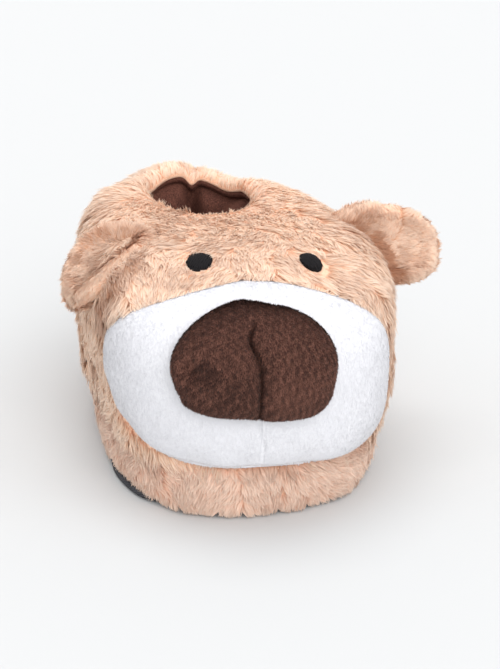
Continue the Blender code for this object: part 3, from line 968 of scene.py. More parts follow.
@dataclass
class Upper:
    """Padded fur shell with its collar roll, lining and four parts of long fur."""

    shoe: Shoe
    wall: float = 0.009
    cloth: float = 0.0060
    pile: float = 0.0022
    curtain: float = 0.082
    fold: float = 0.0030
    puff: float = 0.0050
    heel_puff: float = 0.0060
    flare: float = 0.004
    tuck: float = 0.0016
    lining_gap: float = 0.0003
    around: int = 240
    fibres: int = 124000
    style: FurStyle = FurStyle()
    # Spots of painted shadow under the lying ear, along its lower edge.
    ear_shadows: tuple[PaintedShadeSpot, ...] = (PaintedShadeSpot((-0.050, -0.058, 0.1215), 0.0065, 0.40),
                                     PaintedShadeSpot((-0.058, -0.067, 0.1170), 0.0075, 0.60),
                                     PaintedShadeSpot((-0.067, -0.071, 0.1085), 0.0090, 0.75),
                                     PaintedShadeSpot((-0.072, -0.069, 0.0980), 0.0100, 0.55))

    def build(self) -> None:
        """Build cloth, lining and fur."""
        self._cloth()
        self._lining()
        self._fur()

    def _cloth(self) -> None:
        """Closed shell of cloth: outside, rolled rim, inside 6 mm further in."""
        last = self.shoe.last
        phi = round_angles(self.around)
        start = last.level_at(self.shoe.band_top + self.shoe.gap)
        outer = np.concatenate([np.linspace(start, 1.0, 12)[:-1], np.linspace(1.0, 2.0, 46)[:-1],
                                np.linspace(2.0, 2.25, 6)])
        inner = np.concatenate([np.linspace(1.99, 1.0, 24), np.linspace(1.0, start, 8)[1:]])
        rings = [last.place(phi, level, self._ground(phi, level)) for level in outer]
        rings += [last.place(phi, level, -self.cloth) for level in inner]
        piece = face_out(hoop(rings).make("upper_cloth", self.shoe.finishes.fur_ground.make()))
        dress(piece, "upper", "upper")

    def _ground(self, phi: Array, level: Array) -> Array:
        """Lift of the pile's dense foot over the skin: nothing at the band, under muzzle and eyes."""
        last, shoe = self.shoe.last, self.shoe
        here = smooth_step(level, 0.55, 0.75) * smooth_step(shoe.muzzle.gauge(phi, level), 0.965, 1.045)
        for eye in EYES:
            here = here * (0.55 + 0.45 * smooth_step(eye.gauge(last, phi, level), 0.9, 1.8))
        here = here * (1.0 - 0.7 * smooth_step(level, 1.95, 2.15))
        return self.pile * here + last.slump(last.skin(phi, level))

    def _lining(self) -> None:
        """Closed lining: a gathered curtain hangs from the rim, then flares to the wall."""
        last = self.shoe.last
        phi = round_angles(self.around)
        start = last.level_at(self.shoe.band_top + self.shoe.gap)
        inner = np.concatenate([np.linspace(1.20, 1.0, 8), np.linspace(1.0, start, 8)[1:]])
        outer = np.concatenate([np.linspace(1.985, 1.0, 36), np.linspace(1.0, start, 8)[1:]])
        folds = 0.5 + 0.5 * np.sin(7.0 * phi + 1.8 * np.sin(2.0 * phi) + 0.6)
        puff = self.puff + self.heel_puff * smooth_step(np.sin(phi), -0.2, 0.5) - self.fold * folds
        puff = puff * (1.0 - 1.3 * bell(np.degrees(phi), 80.0, 9.0))
        rings = []
        for level in np.linspace(2.20, 2.5, 8):
            rings.append(last.place(phi, level, -self.tuck * (1.0 - smooth_step(level, 2.20, 2.30))))
        rim = rings[-1]
        for share in np.linspace(0.0, 1.0, 18)[1:]:
            ring = rim.copy()
            belly = math.sin(math.pi * min(share * 1.15, 1.0)) ** 0.8
            ring[:, :2] += self._inward(ring) * (puff * belly - self.flare * share ** 2)[:, None]
            ring[:, 2] += (self.curtain - rim[:, 2]) * share
            rings.append(ring)
        rings += [last.place(phi, level, -self.wall) for level in inner]
        rings += [last.place(phi, level, -self.cloth - self.lining_gap) for level in outer[::-1]]
        piece = face_out(hoop(rings).make("lining", self.shoe.finishes.lining.make()))
        dress(piece, "insole", "upper")

    def _inward(self, ring: Array) -> Array:
        """Level ways from a ring towards the middle of the collar."""
        return -unit_rows(ring[:, :2] - np.array([0.0, self.shoe.last.collar.centre]))

    def _fur(self) -> None:
        """Long fur that falls away from the collar, kept off muzzle and eyes."""
        last, shoe = self.shoe.last, self.shoe
        start = last.level_at(shoe.band_top)

        def keep(phi: Array, level: Array) -> Array:
            """Nothing under the muzzle or an eye."""
            k = shoe.muzzle.gauge(phi, level)
            here = np.where(k < np.where(level < shoe.muzzle.level, 0.945, 0.975), 0.0, 1.0)
            here = here * np.where(level > 2.24 - 0.025 * smooth_step(np.sin(phi), -0.3, 0.2), 0.0, 1.0)
            for eye in EYES:
                here = np.where(eye.gauge(last, phi, level) < 0.55, 0.0, here)
            return here
        phi, level = SkinSampler(last, 21).pick(self.fibres, start, 2.24, keep)
        out, down = last.ways(phi, level)
        points = last.skin(phi, level) + out * self._ground(phi, level)[:, None]
        rng = np.random.default_rng(5)
        rim = smooth_step(level, 2.11, 2.20) * (1.0 - smooth_step(np.sin(phi), -0.3, 0.2))
        flow = turned(down, out, rng.normal(0.0, 0.5, len(phi)) * rim)
        flow = unit_rows(flow * (1.0 - 1.7 * rim)[:, None] + rng.normal(0.0, 0.15, flow.shape) * rim[:, None])
        edge = smooth_step(shoe.muzzle.gauge(phi, level), 0.98, 1.08)
        crown = smooth_step(level, 1.85, 2.0)
        length = self.style.length * (0.88 + 0.12 * edge) * (1.0 - 0.42 * crown - 0.25 * rim)
        for eye in EYES:
            least = np.where(level < eye.level + 0.02, 0.80, 0.35)
            length = length * (least + (1.0 - least) * smooth_step(eye.gauge(last, phi, level), 0.95, 1.7))
        tone = self.shade(points)
        # Painted shade in the fur round each eye.
        for eye in EYES:
            tone = tone - 0.30 * (1.0 - smooth_step(eye.gauge(last, phi, level), 0.9, 1.35))
        over = (1.0 - edge) * smooth_step(level, 1.1, 1.4)
        lift = self.style.lift * (1.0 - 0.55 * smooth_step(out[:, 2], 0.55, 0.92) + 0.9 * rim + 1.2 * over)
        roots = Roots(points, out, flow, length, tone, lift)
        finish = self.shoe.finishes.fur.make()
        coat = FurCoat(self.style, 31).grow(roots)
        for flank in Flank:
            part = self._part(coat, flank.holds(phi))
            dress(part.make(f"fur_{flank.name.lower()}", finish), "upper")

    def shade(self, points: Array) -> Array:
        """Tone of the pile: cloudy, paler behind and on the right as painted light, darker under the lying
        ear as painted shadow.
        """
        # Painted light: paler behind and on the right flank; the spots below are painted shadow under the
        # ear.
        behind = smooth_step(points[:, 1], -0.01, 0.04)
        right = smooth_step(-points[:, 0], 0.050, 0.066)
        tone = 0.83 + 0.07 * waves(points, 0.03, 8) + 0.15 * np.maximum(behind, right)
        for spot in self.ear_shadows:
            tone = tone - spot.over(points)
        return tone

    @staticmethod
    def _part(coat: Sheet, which: Array) -> Sheet:
        """The fibres of a mask, out of a whole coat."""
        n = len(which)
        per = len(coat.points) // n
        points = coat.points.reshape(n, per, 3)[which].reshape(-1, 3)
        normals = coat.normals.reshape(n, per, 3)[which].reshape(-1, 3)
        shift = ((np.arange(n) - np.cumsum(which) + 1) * per)[which]
        quads = coat.quads[which] - shift[:, None]
        tris = coat.tris[which] - shift[:, None]
        return Sheet(points, quads, tris, coat.quad_uv[which], coat.tri_uv[which], normals)


@dataclass
class SoleBand:
    """Fur ring round the footbed."""

    shoe: Shoe
    wall: float = 0.008
    around: int = 240
    fibres: int = 40000
    style: FurStyle = FurStyle(length=0.0074, width=0.00074, lift=0.34, clump_gap=0.0028,
                               lock_gap=0.008, clump=0.45, swirl=0.85)

    def build(self) -> None:
        """Build the ring and its fur."""
        last, shoe = self.shoe.last, self.shoe
        phi = round_angles(self.around)
        low, high = shoe.sole_thick + shoe.gap, shoe.band_top
        rings = [last.flat_ring(phi, z) for z in np.linspace(low, high, 9)]
        rings += [last.flat_ring(phi, z, -self.wall) for z in np.linspace(high, low, 5)]
        piece = face_out(hoop(rings).make("band_cloth", shoe.finishes.fur_ground.make()))
        dress(piece, "sole_band", "sole_band")
        self._fur()

    def _fur(self) -> None:
        """Shorter fur that lies along the band and hangs to the floor."""
        last, shoe = self.shoe.last, self.shoe
        low = last.level_at(shoe.sole_thick + shoe.gap + 0.0006)
        high = last.level_at(shoe.band_top + 0.002)

        def keep(phi: Array, level: Array) -> Array:
            """Denser along the lower edge, thin where the sole shows."""
            edge = 1.0 - smooth_step(level, low, low + 0.12)
            return (1.0 + edge) * (1.0 - 0.95 * edge * shoe.bare(phi))
        phi, level = SkinSampler(last, 22).pick(self.fibres, low, high, keep)
        points = last.skin(phi, level)
        z, bare = points[:, 2], shoe.bare(phi)
        out, down = last.ways(phi, level)
        flow = turned(down, out, 0.35 + 0.45 * waves(points, 0.06, 17) - 0.9 * bare)
        # Painted shade on the band's fur just under the upper's edge.
        shade_under_upper = smooth_step(z, shoe.band_top - 0.006, shoe.band_top)
        tone = 0.90 + 0.07 * waves(points, 0.025, 9) - 0.30 * shade_under_upper
        length = self.style.length * (1.0 - 0.5 * bare * smooth_step(-z, -0.018, -0.006))
        coat = FurCoat(self.style, 41).grow(Roots(points, out, flow, length, tone))
        dress(coat.make("fur_band", shoe.finishes.band_fur.make()), "sole_band")


@dataclass
class Pad:
    """A pad on the last: outer side with relief, edge and back, closed."""

    shoe: Shoe
    plan: PadPlan
    around: int
    rings: int

    def sheet(self, top: Callable[[Array, Array, Array], Array],
              back: Callable[[Array, Array], Array | float]) -> Sheet:
        """Rings from the middle to the edge, then back under.

        Args:
            top: lift of the outer side from angle, level and share.
            back: lift of the back from angle and level.

        Returns:
            The closed pad.
        """
        shares = 1.0 - (1.0 - np.linspace(0.0, 1.0, self.rings + 1)[1:]) ** 1.35

        def side(k: Array, t: Array, outer: bool) -> Array:
            """Points of the outer side or the back, at shares k and angles t."""
            kk, tt = np.meshgrid(k, t, indexing="ij")
            phi, level = self.plan.spot(tt, kk)
            return self.shoe.last.place(phi, level, top(phi, level, kk) if outer else back(phi, level))
        t, none = round_angles(self.around), np.zeros(1)
        rings = [*side(shares, t, True), *side(shares[::-1][::3], t, False)]
        return capped(rings, side(none, none, True), side(none, none, False))

    def roots(self, count: int, seed: int, top: Callable[[Array, Array, Array], Array],
              length: float, tone: float) -> Roots:
        """Even random roots on the outer side, with the nap lying down."""
        plan = self.plan

        def keep(phi: Array, level: Array) -> Array:
            """Only inside the pad's edge."""
            return np.where(plan.gauge(phi, level) < 0.995, 1.0, 0.0)
        sampler = SkinSampler(self.shoe.last, seed)
        phi, level = sampler.pick(count, plan.level - plan.down * 1.2, plan.level + plan.up * 1.2, keep)

        def surface(phi: Array, level: Array) -> Array:
            """Point of the outer side."""
            return self.shoe.last.place(phi, level, top(phi, level, plan.gauge(phi, level)))
        step = 1e-3
        p0 = surface(phi, level)
        du, dv = surface(phi + step, level) - p0, surface(phi, level + step) - p0
        out = unit_rows(np.cross(du, dv))
        shade = tone + 0.22 * waves(p0, 0.0030, seed + 1) + 0.08 * waves(p0, 0.02, seed + 2)
        return Roots(p0, out, -unit_rows(dv), np.full(count, length), shade)


@dataclass
class Muzzle:
    """White short-pile panel with a middle seam."""

    shoe: Shoe
    seam_turn: float = -92.9
    seam_depth: float = 0.0006
    pleat_depth: float = 0.0006
    unevenness: float = 0.0005
    back_lift: float = 0.0005
    hairs: int = 60000
    hair_length: float = 0.0013
    hair_width: float = 0.0004

    def lift(self, phi: Array, level: Array, k: Array) -> Array:
        """Dome, less a narrow seam down the middle, with faint pleats low down by the edge."""
        shoe = self.shoe
        turn = np.degrees(phi) - self.seam_turn
        seam = (bell(turn, 0.0, 0.33) + 0.35 * bell(turn, 0.0, 2.0)) * smooth_step(-level, -1.1, -0.9)
        tuck = 1.0 - 0.8 * smooth_step(k, 0.90, 1.0)
        by_edge = smooth_step(k, 0.62, 0.9) * (1.0 - smooth_step(k, 0.95, 1.0))
        pleats = np.sin(0.36 * turn + 1.6 * np.sin(0.11 * turn)) * by_edge * smooth_step(-level, -1.0, -0.75)
        uneven = waves(shoe.last.skin(phi, level), 0.03, 51) * (1.0 - k)
        return (shoe.muzzle_lift(phi, level) * tuck - self.seam_depth * seam + self.pleat_depth * pleats
                + self.unevenness * uneven)

    def build(self) -> None:
        """Build the panel and its nap."""
        shoe = self.shoe
        pad = Pad(shoe, shoe.muzzle, 220, 60)
        sheet = pad.sheet(self.lift, lambda phi, level: self.back_lift)
        piece = face_out(sheet.make("muzzle_panel", shoe.finishes.white.make()))
        dress(piece, "muzzle", "muzzle")
        roots = pad.roots(self.hairs, 61, self.lift, self.hair_length, 0.7)
        hairs = nap(roots, self.hair_width, 62, 0.04, 0.25)
        dress(hairs.make("muzzle_nap", shoe.finishes.white_pile.make()), "muzzle")


@dataclass
class Nose:
    """Stuffed brown nose with a middle crease and a nostril."""

    shoe: Shoe
    edge: float = 0.0042
    bulge: float = 0.0105
    crease: float = 0.0026
    crease_line: float = 0.0036
    nostril: float = 0.0046
    nostril_turn: float = -12.4
    nostril_rise: float = -0.025
    pucker: float = 0.0005
    dent: float = 0.0012
    tone: float = 0.56
    hairs: int = 45000
    hair_length: float = 0.0016
    hair_width: float = 0.0005

    def lift(self, phi: Array, level: Array, k: Array) -> Array:
        """Dome over the muzzle, less the crease, the nostril with its puckers and a faint dent."""
        shoe, plan = self.shoe, self.shoe.nose
        turn, rise = np.degrees(phi) - plan.turn, level - plan.level
        dome = self.edge + self.bulge * np.sqrt(np.maximum(1.0 - k ** 2.2, 0.0))
        dome = dome - self.edge * 0.8 * smooth_step(k, 0.93, 1.0)
        middle = 2.9 - 1.9 * bell(rise, 0.065, 0.05)
        reach = np.clip((0.14 - rise) / 0.06, 0.0, 1.0) * (1.0 - smooth_step(k, 0.88, 1.0))
        crease = self.crease * bell(turn, middle, 1.9) + self.crease_line * bell(turn, middle, 0.45)
        beside, above = turn - self.nostril_turn, rise - self.nostril_rise
        away = np.hypot(beside / 2.0, above / 0.036)
        spoke = np.arctan2(above, beside * 0.018)
        hole = self.nostril * bell(away, 0.0, 1.0) - self.pucker * np.sin(7.0 * spoke) * bell(away, 1.9, 0.9)
        dent = self.dent * bell(turn, 9.0, 2.6) * bell(rise, -0.01, 0.05)
        return shoe.muzzle_lift(phi, level) + dome - crease * reach - hole - dent

    def build(self) -> None:
        """Build the pad and its nap, with painted shade underneath, on the lower left and in the nostril."""
        shoe = self.shoe
        pad = Pad(shoe, shoe.nose, 200, 50)
        sheet = pad.sheet(self.lift, lambda phi, level: shoe.muzzle_lift(phi, level) + shoe.gap)
        piece = face_out(sheet.make("nose_pad", shoe.finishes.brown.make()))
        dress(piece, "nose", "nose")
        roots = pad.roots(self.hairs, 71, self.lift, self.hair_length, self.tone)
        x, z = roots.points[:, 0], roots.points[:, 2]
        # Painted shade: darker low down, under the lower left lobe and in the nostril.
        low = smooth_step(-z, -0.082, -0.060)
        under = smooth_step(-z, -0.089, -0.077) * smooth_step(-x, 0.011, 0.018)
        hole = bell(x, -0.0355, 0.0042) * bell(z, 0.0865, 0.0048)
        cloudy = self.tone + 1.6 * (roots.tone - self.tone)
        roots.tone = cloudy - 0.30 * low - 0.24 * under - 0.8 * hole
        hairs = nap(roots, self.hair_width, 72, 0.42, 0.7)
        dress(hairs.make("nose_nap", shoe.finishes.brown_pile.make()), "nose")


@dataclass(frozen=True)
class Eye:
    """Embroidered oval of slanting stitches."""

    name: str
    turn: float
    level: float
    half: float
    tall: float
    tilt: float
    lift: float = 0.0024
    dome: float = 0.0010
    sunk: float = 0.0006
    thread: float = 0.00058
    sway: float = 0.00018
    slant: float = 0.10
    stitches: int = 11
    around: int = 64

    def scale(self, last: Last) -> tuple[float, float]:
        """Metres for one radian round and for one level up, at the middle."""
        phi, step = math.radians(self.turn), 1e-3
        round_way = last.skin(phi + step, self.level) - last.skin(phi - step, self.level)
        up_way = last.skin(phi, self.level + step) - last.skin(phi, self.level - step)
        across, along = (float(np.linalg.norm(way)) / (2.0 * step) for way in (round_way, up_way))
        return across, along

    def gauge(self, last: Last, phi: Array, level: Array) -> Array:
        """Share of the way from the middle (0) to the edge (1)."""
        sx, sy = self.scale(last)
        u, v = (phi - math.radians(self.turn)) * sx, (level - self.level) * sy
        lean = math.radians(self.tilt)
        x = u * math.cos(lean) + v * math.sin(lean)
        y = -u * math.sin(lean) + v * math.cos(lean)
        return np.hypot(x / self.half, y / self.tall)

    def spot(self, last: Last, x: Array, y: Array, lift: Array | float) -> Array:
        """Point over the skin at x along and y across the oval."""
        sx, sy = self.scale(last)
        lean = math.radians(self.tilt)
        u = x * math.cos(lean) - y * math.sin(lean)
        v = x * math.sin(lean) + y * math.cos(lean)
        return last.place(math.radians(self.turn) + u / sx, self.level + v / sy, lift)

    def build(self, shoe: Shoe) -> None:
        """Build the backing oval and its stitches."""
        last = shoe.last
        t, none = round_angles(self.around), np.zeros(1)
        x, y, top = self.half * np.cos(t), self.tall * np.sin(t), self.lift - self.sunk
        ovals = [(k, top + self.dome * (1.0 - k * k)) for k in (0.3, 0.6, 0.85, 1.0)] + [(1.0, self.sunk)]
        rings = [self.spot(last, x * k, y * k, lift) for k, lift in ovals]
        base = capped(rings, self.spot(last, none, none, top + self.dome),
                      self.spot(last, none, none, self.sunk))
        finish = shoe.finishes.thread.make()
        piece = face_out(base.make(f"{self.name}_backing", finish))
        dress(piece, "eyes", self.name)
        dress(self._stitches(last).make(f"{self.name}_stitches", finish), "eyes")

    def _stitches(self, last: Last) -> Sheet:
        """Threads side by side across the oval, each a small half tube with ragged ends."""
        rng = np.random.default_rng(int(self.half * 1e5))
        steps, sides, shortest = 9, 5, 0.0008
        ss, aa = np.meshgrid(np.linspace(-1.0, 1.0, steps), np.linspace(0.0, math.pi, sides), indexing="ij")
        radius = self.thread * np.sqrt(np.clip(1.0 - ss ** 8, 0.0, 1.0)) + 0.00002
        i, j = np.meshgrid(np.arange(steps - 1), np.arange(sides - 1), indexing="ij")
        a = i * sides + j
        quads = np.stack([a, a + 1, a + sides + 1, a + sides], -1).reshape(-1, 4)
        sheets = []
        for row, slant in ((0, -self.slant), (1, self.slant)):
            for y0 in (np.arange(self.stitches) + 0.5 * row) / self.stitches * 2.0 - 1.0:
                reach = self.half * math.sqrt(max(1.0 - y0 * y0, 0.0)) * rng.uniform(0.93, 1.06)
                if reach < shortest:
                    continue
                x = reach * ss
                sway = self.sway * np.sin(ss * rng.uniform(3.0, 9.0) + rng.uniform(0.0, 6.0))
                y = self.tall * y0 + slant * x + radius * np.cos(aa) + sway
                dome = self.dome * (1.0 - np.clip((x / self.half) ** 2 + y0 * y0, 0.0, 1.0))
                lift = self.lift + dome + radius * np.sin(aa) - 0.0007 * ss ** 6 - 0.0002 * row
                sheets.append(Sheet(self.spot(last, x, y, lift).reshape(-1, 3), quads))
        return join(sheets)


EYES = (Eye("eye_right", -109.0, 1.668, 0.0088, 0.0059, 73.0),
        Eye("eye_left", -70.1, 1.606, 0.0078, 0.0044, 98.0))


@dataclass(frozen=True)
class Ear:
    """Cupped fur ear: a thin pad with long fur on back and rim, shorter fur inside."""

    name: str
    root: tuple[float, float, float]
    tip_way: tuple[float, float, float]
    facing: tuple[float, float, float]
    bend: float
    seed: int
    half: float = 0.0215
    length: float = 0.053
    thick: float = 0.0080
    cup: float = 0.0050
    roll: float = 0.0028
    trim: float = 0.07
    fibres: int = 13500
    # Painted shade inside the ear: the way it darkens towards, how dark it gets in the cup and along the
    # root's crease.
    shade_way: tuple[float, float] = (-1.0, -0.6)
    deep: float = 0.62
    root_shade: float = 0.0
    around: int = 96

    def axes(self) -> tuple[Array, Array, Array]:
        """Ways of the tip, the facing side and the width."""
        a = unit_rows(np.asarray(self.tip_way))
        facing = np.asarray(self.facing)
        n = unit_rows(facing - np.dot(facing, a) * a)
        return a, n, np.cross(n, a)

    def spot(self, t: Array, k: Array | float, side: float) -> Array:
        """Point of the pad: share k of the way to the rim at angle t, on one side (1 or -1)."""
        a, n, w = self.axes()
        reach = k * (1.0 - self.trim * smooth_step(np.sin(t), -0.6, 0.4))
        across = signed_power(np.cos(t), 2.0 / 2.3) * self.half * reach
        along = self.length * (0.44 + signed_power(np.sin(t), 2.0 / 2.3) * 0.56 * reach)
        share = np.clip(along / self.length, 0.0, 1.0)
        thick = self.thick * 0.5 * np.sqrt(np.clip(1.0 - k ** 5, 0.0, 1.0)) * side
        cup = self.cup * ((across / self.half) ** 2 + 0.5 * np.clip(share - 0.6, 0.0, 1.0) ** 2)
        out = thick + cup + self.bend * 4.0 * share * (1.0 - share)
        if side > 0.0:
            out = out + self.roll * (bell(k, 0.78, 0.16) - 0.6 * bell(k, 0.0, 0.55, 4))
        return np.asarray(self.root) + along[..., None] * a + across[..., None] * w + out[..., None] * n

    def build(self, shoe: Shoe) -> None:
        """Build the pad and its coats."""
        t, none = round_angles(self.around), np.zeros(1)
        shares = np.sin(np.linspace(0.08, 1.0, 16) * math.pi / 2.0)
        rings = [self.spot(t, k, 1.0) for k in shares] + [self.spot(t, k, -1.0) for k in shares[::-1][1:]]
        sheet = capped(rings, self.spot(none, 0.0, 1.0), self.spot(none, 0.0, -1.0))
        piece = face_out(sheet.make(f"{self.name}_pad", shoe.finishes.fur_ground.make()))
        dress(piece, "ears", self.name)
        finish = shoe.finishes.ear_fur.make()
        coats = ((-1.0, "back", 0.0070, 0.30, 0.4), (1.0, "inside", 0.0055, 0.36, 0.6))
        for number, (side, label, length, lift, swirl) in enumerate(coats):
            style = FurStyle(length=length, width=0.0006, lift=lift, lay=0.10, clump_gap=0.0026,
                             lock_gap=0.007, clump=0.55, swirl=swirl)
            coat = FurCoat(style, self.seed + number).grow(self._roots(side, length))
            dress(coat.make(f"{self.name}_fur_{label}", finish), "ears")

    def _roots(self, side: float, length: float) -> Roots:
        """Roots on one side of the pad, lying away from the root of the ear and past its rim."""
        rng = np.random.default_rng(self.seed + 7)
        a, n, w = self.axes()
        count = self.fibres
        t = rng.random(count) * 2.0 * math.pi
        k = np.sqrt(rng.random(count)) * (1.0 if side < 0.0 else 0.98)
        step = 1e-3
        points = self.spot(t, k, side)
        dt = self.spot(t + step, k, side) - points
        dk = self.spot(t, np.clip(k - step, 0.0, 1.0), side) - points
        out = unit_rows(np.cross(dt, dk))
        out = np.where((out @ n * side)[:, None] < 0.0, -out, out)
        middle = np.asarray(self.root) + a * self.length * 0.40
        rim_way = points - middle
        rim_way = unit_rows(rim_way - (rim_way @ n)[:, None] * n)
        rim = smooth_step(k, 0.72, 0.92)[:, None]
        out = unit_rows(out + rim_way * smooth_step(k, 0.85, 1.0)[:, None] * 0.8)
        flow = unit_rows(a * 0.7 + rim_way * (0.1 + 1.3 * smooth_step(k, 0.25, 0.9)[:, None]))
        flow = unit_rows(flow - (flow * out).sum(-1, keepdims=True) * out)
        rim = rim[:, 0]
        tone = 0.82 + 0.08 * waves(points, 0.02, self.seed)
        # Painted shade on the inside: darker into the cup and along the root's crease, with a painted
        # highlight on the rim and a painted shade line just inside it.
        if side > 0.0:
            u, v = (points - middle) @ w / self.half, (points - middle) @ a / self.length
            deep = smooth_step(u * self.shade_way[1] + v * 2.0 * self.shade_way[0], -0.9, 0.8)
            crease = smooth_step(-v - 0.16 * u, -0.10, 0.05) * smooth_step(-u, -0.45, 0.05)
            tone = tone - self.deep * deep * (1.0 - 0.6 * rim) - self.root_shade * crease
            tone = tone + 0.16 * (rim - bell(k, 0.64, 0.07))
        return Roots(points, out, flow, length * (0.85 - 0.1 * rim), tone)


EARS = (Ear("ear_left", (0.058, -0.037, 0.1100), (0.975, -0.04, -0.16), (-0.08, -0.86, 0.50), 0.0020, 81,
            length=0.0575, trim=0.03, root_shade=0.90),
        Ear("ear_right", (-0.045, -0.039, 0.1200), (-0.77, -0.21, -0.60), (-0.55, -0.25, 0.80), 0.0060, 91,
            half=0.0200, trim=0.10, shade_way=(-0.5, -0.2), deep=0.50))


@dataclass
class Sole:
    """Anti-slip sole with moulded dots, and the footbed above it."""

    shoe: Shoe
    around: int = 200
    sole_level: float = 0.20
    toe_spring: float = 0.0022
    arch_relief: float = 0.0012
    stand: float = 0.0003
    footbed_top: float = 0.019
    footbed_round: float = 0.0015
    band_wall: float = 0.008
    heel_bevel: float = 0.0008
    corner_out: float = 0.0035
    edge_in: float = 0.0016
    edge_round: float = 0.0006
    dot_pitch: float = 0.0085
    dot_margin: float = 0.007
    dot_sides: int = 10
    diamond: float = 0.028
    pressed: float = 0.0009

    def under(self, x: Array, y: Array) -> Array:
        """Height of the underside: toe spring, heel bevel and relieved arch edges."""
        spring = self.toe_spring * np.clip((-y - 0.082) / 0.038, 0.0, 1.0) ** 2
        heel = self.heel_bevel * np.clip((y - 0.108) / 0.014, 0.0, 1.0)
        waist = bell(y, 0.012, 0.030)
        waist = np.where(waist < 0.12, 0.0, waist)
        sides = np.clip((np.abs(x) - 0.022) / 0.024, 0.0, 1.0)
        return self.stand + spring + heel + self.arch_relief * waist * sides

    def build(self) -> None:
        """Build sole, dots and footbed."""
        self._outsole()
        self._dots()
        self._footbed()

    def _outsole(self) -> None:
        """Slab with a rounded lower edge, closed at the middle on both sides."""
        phi, top = round_angles(self.around), self.shoe.sole_thick
        edge = self.shoe.last.skin(phi, self.sole_level)[:, :2]
        bare = self.shoe.bare(phi)
        edge = edge + unit_rows(edge) * (self.corner_out * bare - self.edge_in * (1.0 - bare))[:, None]
        rings = []
        for share in (0.15, 0.35, 0.55, 0.72, 0.86, 0.94, 0.975):
            xy = edge * share
            rings.append(np.column_stack([xy, self.under(*xy.T)]))
        for share, z in ((0.994, self.edge_round), (1.0, 0.0016), (1.0, top - 0.0008)):
            xy = edge * share
            rings.append(np.column_stack([xy, np.maximum(z, self.under(*xy.T) + self.edge_round)]))
        for share in (0.994, 0.86, 0.6, 0.3):
            rings.append(np.column_stack([edge * share, np.full(self.around, top)]))
        sheet = capped(rings, (0.0, 0.0, 0.0), (0.0, 0.0, top))
        piece = face_out(sheet.make("grip_sole", self.shoe.finishes.grip.make()))
        dress(piece, "outsole", "outsole")

    def _dots(self) -> None:
        """Low domes on a staggered grid over the underside, 0.25 mm proud."""
        pitch = self.dot_pitch
        gx, gy = np.meshgrid(np.arange(-8, 9), np.arange(-15, 16), indexing="ij")
        x = gx * pitch + 0.5 * pitch * (gy % 2)
        y = gy * pitch * 0.9
        ex, ey = self.shoe.last.skin(np.linspace(-math.pi, math.pi, 721), self.sole_level)[:, :2].T
        order = np.argsort(np.arctan2(ey, ex))
        reach = np.interp(np.arctan2(y, x), np.arctan2(ey, ex)[order], np.hypot(ex, ey)[order])
        inside = np.hypot(x, y) < reach - self.dot_margin
        x, y = x[inside][:, None], y[inside][:, None]
        a = round_angles(self.dot_sides)

        def circle(radius: float, drop: float) -> Array:
            """Rings of one radius round every dot's middle, at a step over the underside."""
            px, py = x + radius * np.cos(a), y + radius * np.sin(a)
            return np.stack([px, py, self.under(px, py) + drop], -1)
        inner, foot, dome, flat, tip = (circle(radius, drop) for radius, drop in (
            (0.0, 0.0004), (0.0019, 0.0004), (0.0016, -0.00015), (0.0008, -0.00025), (0.0, -0.00028)))
        dots = [capped([foot[i], dome[i], flat[i]], inner[i, 0], tip[i, 0]) for i in range(len(x))]
        dress(face_out(join(dots).make("grip_dots", self.shoe.finishes.dots.make())), "outsole")

    def _footbed(self) -> None:
        """Foam bed with a rounded edge and sewn diamonds pressed into its top."""
        shoe, phi = self.shoe, round_angles(self.around)
        inset = -(self.band_wall + shoe.gap)
        low, top = shoe.sole_thick + shoe.gap, self.footbed_top
        heights = (low, low + 0.004, low + 0.009, top - self.footbed_round)
        rings = [shoe.last.flat_ring(phi, z, inset) for z in heights]
        outer = rings[-1][:, :2]
        for share in (0.996, 0.985, 0.97, 0.93, 0.88, *np.linspace(0.83, 0.05, 30)):
            xy = outer * share
            edge = smooth_step(1.0 - share, 0.0, 0.03)
            u, v = (xy[:, 0] + xy[:, 1]) / self.diamond, (xy[:, 0] - xy[:, 1]) / self.diamond
            groove = np.clip(bell(u, np.round(u), 0.06) + bell(v, np.round(v), 0.06), 0.0, 1.0)
            z = top - self.footbed_round * (1.0 - edge) - self.pressed * groove * edge
            rings.append(np.column_stack([xy, z]))
        sheet = capped(rings, (0.0, 0.0, low), (0.0, 0.0, top - self.pressed))
        piece = face_out(sheet.make("footbed", shoe.finishes.lining.make()))
        dress(piece, "insole", "insole")


# Studio


@dataclass(frozen=True)
class Lamp:
    """A far lamp: where it stands, how wide it looks in degrees and how strong it is."""

    name: str
    place: tuple[float, float, float]
    spread: float
    strength: float


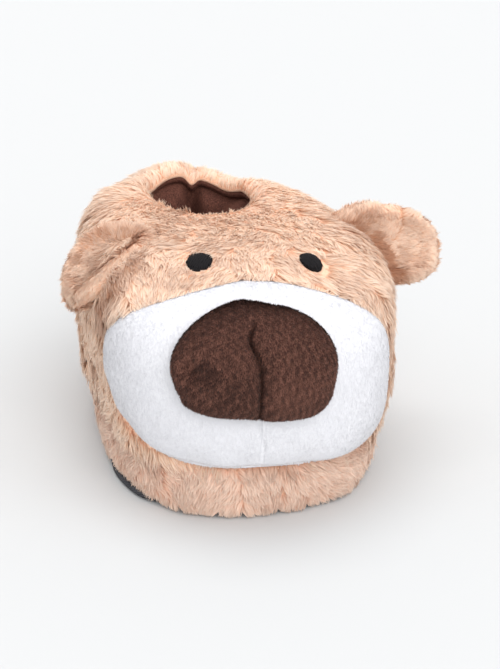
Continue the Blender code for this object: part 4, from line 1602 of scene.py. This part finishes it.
@dataclass
class Studio:
    """Pale floor, soft lights and the photograph's camera."""

    distance: float = 0.800
    raise_deg: float = 20.2
    turn_deg: float = -14.5
    target: tuple[float, float, float] = (0.0205, 0.0, 0.0484)
    focal_px: float = 1424.0
    frame_px: tuple[int, int] = (500, 669)
    sensor: float = 36.0
    paper: Colour = (0.585, 0.590, 0.592)
    room: Colour = (0.985, 0.99, 1.0)
    room_light: float = 0.92
    lamps: tuple[Lamp, ...] = (Lamp("key", (0.5, -0.5, 1.0), 40.0, 0.48),
                               Lamp("front", (0.0, -1.0, 0.55), 44.0, 1.74),
                               Lamp("top", (-0.1, 0.1, 1.0), 40.0, 1.02))

    def build(self) -> None:
        """Build camera, floor, lights and surroundings."""
        self._camera()
        self._floor()
        self._lights()

    def _camera(self) -> None:
        """Camera at the photograph's angle; the sensor's long side is the frame's height."""
        e, a = math.radians(self.raise_deg), math.radians(self.turn_deg)
        back = Vector((math.sin(a) * math.cos(e), -math.cos(a) * math.cos(e), math.sin(e)))
        right = Vector((math.cos(a), math.sin(a), 0.0))
        matrix = Matrix((right, back.cross(right), back)).transposed().to_4x4()
        matrix.translation = Vector(self.target) + back * self.distance
        data = bpy.data.cameras.new("camera")
        data.sensor_width = self.sensor
        data.lens = self.sensor * self.focal_px / max(self.frame_px)
        data.clip_start, data.clip_end = 0.01, 20.0
        camera = bpy.data.objects.new("camera", data)
        camera.matrix_world = matrix
        bpy.context.scene.collection.objects.link(camera)
        bpy.context.scene.camera = camera

    def _floor(self) -> None:
        """One wide sheet that turns up into a backdrop far behind."""
        bend, steps, reach = 0.6, 16, 12.0
        turn = np.linspace(0.0, math.pi / 2.0, steps)
        y = np.concatenate([[-reach], reach + bend * np.sin(turn)])
        z = np.concatenate([[0.0], bend * (1.0 - np.cos(turn))])
        y, z = np.append(y, reach + bend), np.append(z, 3.0)
        x = np.array([-reach, reach])
        points = np.stack([np.tile(x, len(y)), np.repeat(y, 2), np.repeat(z, 2)], -1)
        i = np.arange(len(y) - 1) * 2
        n = Nodes("studio_paper")
        n.shader.inputs["Base Color"].default_value = (*self.paper, 1.0)
        n.shader.inputs["Roughness"].default_value = 0.8
        n.shader.inputs["Specular IOR Level"].default_value = 0.2
        floor = Sheet(points, np.stack([i, i + 1, i + 3, i + 2], -1)).make("studio_floor", n.material)

    def _lights(self) -> None:
        """Very broad far lamps, from the right, from the front and from above, in a white room."""
        for lamp in self.lamps:
            data = bpy.data.lights.new(lamp.name, "SUN")
            data.angle, data.energy = math.radians(lamp.spread), lamp.strength
            light = bpy.data.objects.new(lamp.name, data)
            light.rotation_euler = (-Vector(lamp.place)).to_track_quat("-Z", "Y").to_euler()
            light.location = lamp.place
            bpy.context.scene.collection.objects.link(light)
        world = bpy.data.worlds.new("studio_room")
        world.use_nodes = True
        room = world.node_tree.nodes["Background"]
        room.inputs["Color"].default_value = (*self.room, 1.0)
        room.inputs["Strength"].default_value = self.room_light
        bpy.context.scene.world = world
        bpy.context.scene.view_settings.view_transform = "Standard"


def corners(bounds: tuple[Vector, Vector]) -> list[list[float]]:
    """Two corners as plain lists."""
    return [list(map(float, corner)) for corner in bounds]


def main() -> None:
    """Load the solids and dress every piece."""
    logging.basicConfig(level=logging.INFO, format="%(name)s: %(message)s")
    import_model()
    shoe = Shoe()
    Studio().build()
    Sole(shoe).build()
    SoleBand(shoe).build()
    Upper(shoe).build()
    Muzzle(shoe).build()
    Nose(shoe).build()
    for eye in EYES:
        eye.build(shoe)
    for ear in EARS:
        ear.build(shoe)


if __name__ == "__main__":
    main()
